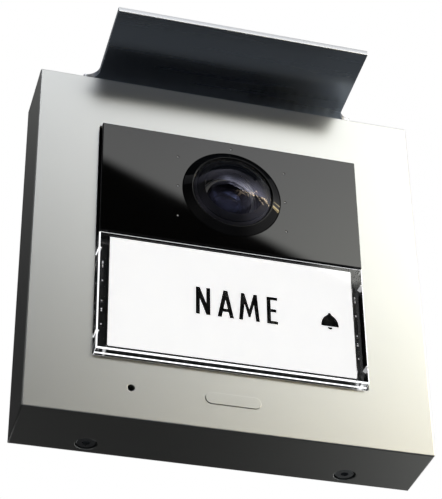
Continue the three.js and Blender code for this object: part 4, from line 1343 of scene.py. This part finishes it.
    def _bell(self, x: float, foot: float) -> list[list[Point]]:
        """A bell's side view with its clapper below."""
        side = [
            (2.5, 0), (2.45, 0.8), (2.25, 1.65), (1.9, 2.4),
            (1.4, 3.05), (0.8, 3.5), (0.45, 3.8), (0.3, 4.3),
        ]
        right = [(x + across, foot + up) for across, up in side]
        left = [(x - across, foot + up) for across, up in reversed(side)]
        return [[*right, *left], arc((x, foot - 0.3), 0.7, 180, 360, 8)]

    def _opal_plate(self) -> None:
        """The opal plate behind the card."""
        box = Extent.of("diffuser")
        plate = Solid.prism(rectangle(box.span(0), box.span(2), 0.4, 4), box.span(1)).rounded(0.15, 2)
        plate.hand_over("opal_plate", OPAL_ACRYLIC, Body.PUSH, ["diffuser"])


@dataclass
class ReturnSprings:
    """The two coil springs behind the push, built at one fixed length."""

    wire_radius: float = 0.22
    turns: float = 4.5
    steps_per_turn: int = 24
    sides: int = 10
    travel: float = 0.8

    def build(self) -> None:
        """Builds both springs."""
        for word in HANDS:
            node = f"push_spring_{word}"
            box = Extent.of(node)
            spring = self._coil(box)
            piece = spring.hand_over(f"coil_spring_{word}", SPRING_WIRE, Body.HOUSING, [node])
            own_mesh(piece)

    def _coil(self, box: Extent) -> Solid:
        """A round wire wound along Y."""
        radius = (box.high.x - box.low.x) / 2 - self.wire_radius
        start, end = box.low.y + self.wire_radius, box.high.y - self.wire_radius
        count = int(self.turns * self.steps_per_turn)
        mesh = bmesh.new()
        rings = []
        for step in range(count + 1):
            turn = TAU * step / self.steps_per_turn
            out = Vector((math.cos(turn), 0, math.sin(turn)))
            y = start + (end - start) * step / count
            middle = Vector((box.centre.x, y, box.centre.z)) + out * radius
            angles = [TAU * k / self.sides for k in range(self.sides)]
            ways = [out * math.cos(a) + Vector((0, math.sin(a), 0)) for a in angles]
            rings.append([mesh.verts.new(middle + self.wire_radius * way_out) for way_out in ways])
        for first, second in zip(rings, rings[1:]):
            for k in range(self.sides):
                mesh.faces.new((first[k - 1], first[k], second[k], second[k - 1]))
        mesh.faces.new(rings[0])
        mesh.faces.new(rings[-1])
        return Solid(mesh)


# ---------------------------------------------------------------- carried-over pieces


@dataclass
class CarriedPieces:
    """CAD nodes whose shape stays: their edges are softened and they get their finish."""

    soften: float = 0.12

    def finishes(self) -> dict[str, Finish]:
        """The finish of each carried-over node."""
        table = {
            "rear_plate": BLACK_ABS, "cable_grommet": RUBBER, "inner_frame": BLACK_ABS,
            "frame_seal": RUBBER, "lens_holder": BLACK_ABS, "image_sensor": SENSOR_FACE,
            "camera_board": CIRCUIT_BOARD, "lamp_board": CIRCUIT_BOARD, "main_board": CIRCUIT_BOARD,
            "push_carrier": BLACK_ABS, "mic_boot": RUBBER, "mic_capsule": ZINC_STEEL,
            "speaker_basket": GREY_ABS, "speaker_cone": PAPER_PULP, "speaker_magnet": ZINC_STEEL,
            "speaker_gasket": RUBBER, "terminal_block": GREEN_POLYAMIDE,
            "volume_trimmer": BLUE_THERMOSET, "volume_rotor": WHITE_NYLON,
            "terminal_screw_1": ZINC_STEEL, "terminal_screw_2": ZINC_STEEL,
        }
        for word in HANDS:
            table |= {
                f"hood_screw_{word}": ZINC_STEEL, f"case_insert_{word}": BRASS,
                f"switch_body_{word}": BLACK_ABS, f"switch_plunger_{word}": GREY_ABS,
                f"card_lamp_{word}": WHITE_NYLON, f"board_screw_{word}": ZINC_STEEL,
                f"frame_screw_lower_{word}": ZINC_STEEL, f"frame_screw_upper_{word}": ZINC_STEEL,
            }
        return table

    def build(self) -> None:
        """Softens and dresses every carried-over node."""
        for node, finish in self.finishes().items():
            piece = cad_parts[node]
            piece.data.materials.clear()
            piece.data.materials.append(finish.material())
            self._soften(piece)
            LOG.info("%s: carried over as %s", node, finish.name)

    def _soften(self, piece: bpy.types.Object) -> None:
        """Rounds a node's edges with modifiers, which leave its own mesh as it is."""
        weld = piece.modifiers.new("weld", "WELD")
        weld.merge_threshold = 2e-6
        flat = piece.modifiers.new("join flats", "DECIMATE")
        flat.decimate_type = "DISSOLVE"
        flat.angle_limit = math.radians(1)
        edge = piece.modifiers.new("soft edges", "BEVEL")
        edge.width = self.soften / METRE
        edge.segments = 2
        edge.limit_method = "ANGLE"
        edge.angle_limit = math.radians(40)
        edge.use_clamp_overlap = True
        settle_normals(piece, 40)


# ---------------------------------------------------------------- studio


@dataclass(frozen=True)
class Glow:
    """A round soft light very far away."""

    direction: tuple[float, float, float]
    tightness: float
    colour: tuple[float, float, float]
    in_sky: bool = False


@dataclass
class Studio:
    """The pale floor, the soft light and the camera."""

    floor_drop: float = 1.3
    floor_size: float = 14.0
    lens: float = 128.37
    eye: tuple[float, float, float] = (-112.68, -404.04, -277.47)
    ahead: tuple[float, float, float] = (0.22615, 0.78762, 0.57315)
    right: tuple[float, float, float] = (0.96350, -0.26741, -0.01270)
    sky_up: tuple[float, float, float] = (0.293, 0.630, 0.719)
    ridge_up: tuple[float, float, float] = (-0.402, 0.147, 0.904)
    sun: Glow = Glow((0.80, -0.45, 0.40), 9, (25.0, 20.0, 10.5))
    sun_height: float = 0.055
    treetops: float = 0.8
    # First the sky that the sides, the bottom and the front mirror, then what fills in the other views.
    glows: tuple[Glow, ...] = (
        Glow((0.604, 0.692, -0.396), 60, (1.45, 1.46, 1.43), True),
        Glow((-0.237, 0.567, 0.788), 60, (0.69, 0.70, 0.69), True),
        Glow((0.014, 0.855, -0.519), 150, (0.08, 0.08, 0.08), True),
        Glow((0.408, -0.767, 0.496), 60, (3.35, 3.35, 2.90), True),
        Glow((0.549, -0.766, 0.335), 20, (2.05, 2.12, 2.20), True),
        Glow((0.003, -0.695, 0.719), 150, (2.00, 2.10, 2.25), True),
        Glow((0.115, -0.822, 0.558), 60, (1.68, 1.68, 1.62), True),
        Glow((0.262, -0.706, 0.658), 150, (0.30, 0.30, 0.45), True),
        Glow((0.80, -0.45, 0.40), 22, (2.2, 2.2, 2.3), True),
        Glow((0.4, -0.72, 0.57), 3, (0.05, 0.05, 0.06), True),
        Glow((-0.2, -0.3, 0.93), 8, (0.45, 0.46, 0.49), True),
        Glow((0.45, 0.65, 0.61), 50, (0.30, 0.34, 0.34), True),
        Glow((0.1, 0.1, 0.98), 16, (0.70, 0.70, 0.72), True),
        Glow((0.1, -0.5, -0.86), 4, (0.055, 0.06, 0.065)),
        Glow((-0.97, 0.05, 0.2), 6, (0.2, 0.2, 0.205)),
        Glow((0.95, -0.1, 0.1), 8, (0.7, 0.7, 0.7)),
        Glow((0.0, -1.0, -0.15), 16, (0.24, 0.25, 0.27)),
        Glow((-0.77, -0.64, -0.15), 14, (0.26, 0.26, 0.26)),
        Glow((0.77, -0.64, -0.15), 14, (0.4, 0.4, 0.4)),
        Glow((0.05, 1.0, 0.1), 40, (0.8, 0.8, 0.8)),
        Glow((0.75, 0.6, 0.25), 14, (0.4, 0.4, 0.4)),
    )

    def build(self) -> None:
        """Sets up the floor, the world and the camera."""
        self._camera()
        self._floor()
        self._world()
        settings = bpy.context.scene.view_settings
        settings.view_transform = "Standard"
        settings.look = "None"

    def _camera(self) -> None:
        """A long lens below and left of the panel, looking up at it."""
        data = bpy.data.cameras.new("studio camera")
        data.lens = self.lens
        data.sensor_width = 36
        data.sensor_fit = "AUTO"
        data.clip_start = 0.01
        data.clip_end = 50
        camera = bpy.data.objects.new("studio camera", data)
        bpy.context.scene.collection.objects.link(camera)
        ahead = Vector(self.ahead).normalized()
        right = (Vector(self.right) - ahead * ahead.dot(Vector(self.right))).normalized()
        up = right.cross(ahead)
        turn = Matrix((right, up, -ahead)).transposed().to_4x4()
        camera.matrix_world = Matrix.Translation(Vector(self.eye) / METRE) @ turn
        bpy.context.scene.camera = camera

    def _floor(self) -> None:
        """A wide pale floor well below the panel, which hangs on a wall."""
        mesh = bmesh.new()
        reach = self.floor_size / 2
        corners = [(-reach, -reach), (reach, -reach), (reach, reach), (-reach, reach)]
        mesh.faces.new([mesh.verts.new((x, y, -self.floor_drop)) for x, y in corners])
        data = bpy.data.meshes.new("studio floor")
        mesh.to_mesh(data)
        mesh.free()
        floor = bpy.data.objects.new("studio floor", data)
        bpy.context.scene.collection.objects.link(floor)
        paint = Finish(
            "matt_floor_paint", "white_card", "#f3f3f1", "#efefed", 0.8, 0.05, 0.0, 1.5,
            mottle_mm=300, grain_mm=3, relief_mm=0.05,
        )
        floor.data.materials.append(paint.material())
        floor.visible_glossy = False
        floor.visible_transmission = False

    def _world(self) -> None:
        """Soft glows in the sky and a dim ground, over a white backdrop that only the camera sees."""
        world = bpy.data.worlds.new("studio light")
        bpy.context.scene.world = world
        world.use_nodes = True
        tree = world.node_tree
        tree.nodes.clear()
        way = add_node(tree, "TexCoord").outputs["Generated"]
        sky = self._sky(tree, way)
        total = self._low_sun(tree, way)
        for glow in self.glows:
            share = self._shine(tree, way, glow)
            if glow.in_sky:
                share = maths(tree, "MULTIPLY", share, sky)
            scaled = add_node(tree, "VectorMath", {0: glow.colour, "Scale": share}, operation="SCALE")
            feeds = {0: total, 1: scaled.outputs["Vector"]}
            total = add_node(tree, "VectorMath", feeds, operation="ADD").outputs["Vector"]
        studio = add_node(tree, "Background", {"Color": total, "Strength": 1.0})
        backdrop = add_node(tree, "Background", {"Color": (1, 1, 1, 1), "Strength": 1.0})
        seen = add_node(tree, "LightPath").outputs["Is Camera Ray"]
        feeds = {0: seen, 1: studio.outputs["Background"], 2: backdrop.outputs["Background"]}
        choice = add_node(tree, "MixShader", feeds)
        add_node(tree, "OutputWorld", {"Surface": choice.outputs["Shader"]})

    def _sky(self, tree: Tree, way: Socket) -> Socket:
        """1 in the open sky, 0 below its horizon and behind the ridge on the right."""
        above = self._eased(tree, self._towards(tree, way, self.sky_up), -0.005, 0.002)
        low = self._eased(tree, self._towards(tree, way, self.ridge_up), 0.02, 0.0)
        right = self._eased(tree, self._towards(tree, way, (1, 0, 0)), 0.55, 0.64)
        clear = maths(tree, "SUBTRACT", 1.0, maths(tree, "MULTIPLY", low, right))
        return maths(tree, "MULTIPLY", above, clear)

    def _low_sun(self, tree: Tree, way: Socket) -> Socket:
        """A thin warm line of light along the ridge, broken up as if by trees."""
        clouds = noise(tree, way, 12.0, 4.0)
        treetops = maths(tree, "MULTIPLY_ADD", clouds, -self.treetops, self.treetops / 2)
        rise = maths(tree, "SUBTRACT", self._towards(tree, way, self.ridge_up), treetops)
        line = self._eased(tree, maths(tree, "ABSOLUTE", rise), self.sun_height, 0.0)
        leaves = self._eased(tree, noise(tree, way, 11.0, 6.0), 0.47, 0.53)
        broken = maths(tree, "MULTIPLY", line, leaves)
        share = maths(tree, "MULTIPLY", broken, self._shine(tree, way, self.sun))
        scaled = add_node(tree, "VectorMath", {0: self.sun.colour, "Scale": share}, operation="SCALE")
        return scaled.outputs["Vector"]

    @staticmethod
    def _towards(tree: Tree, way: Socket, direction: Sequence[float]) -> Socket:
        """Cosine of the angle between the ray and a direction."""
        feeds = {0: way, 1: Vector(direction).normalized()}
        return add_node(tree, "VectorMath", feeds, operation="DOT_PRODUCT").outputs["Value"]

    @staticmethod
    def _eased(tree: Tree, value: Socket, start: float, end: float) -> Socket:
        """Eases from 0 to 1 as a value goes from start to end."""
        ends = (0.0, 1.0) if start < end else (1.0, 0.0)
        source = (min(start, end), max(start, end))
        return map_range(tree, value, source, ends, interpolation_type="SMOOTHSTEP")

    def _shine(self, tree: Tree, way: Socket, glow: Glow) -> Socket:
        """Falls off from 1 in the middle of a glow."""
        near = self._towards(tree, way, glow.direction)
        return maths(tree, "EXPONENT", maths(tree, "MULTIPLY_ADD", near, glow.tightness, -glow.tightness))


def main() -> None:
    """Builds the scene: the studio first, then each sub-assembly."""
    logging.basicConfig(level=logging.INFO, format="%(message)s")
    Studio().build()
    for part in (CaseShell(), RainHood(), CaseScrews(), CameraWindow(), Lens(), RoundLamps(), BellPush()):
        part.build()
    ReturnSprings().build()
    CarriedPieces().build()


if __name__ == "__main__":
    main()
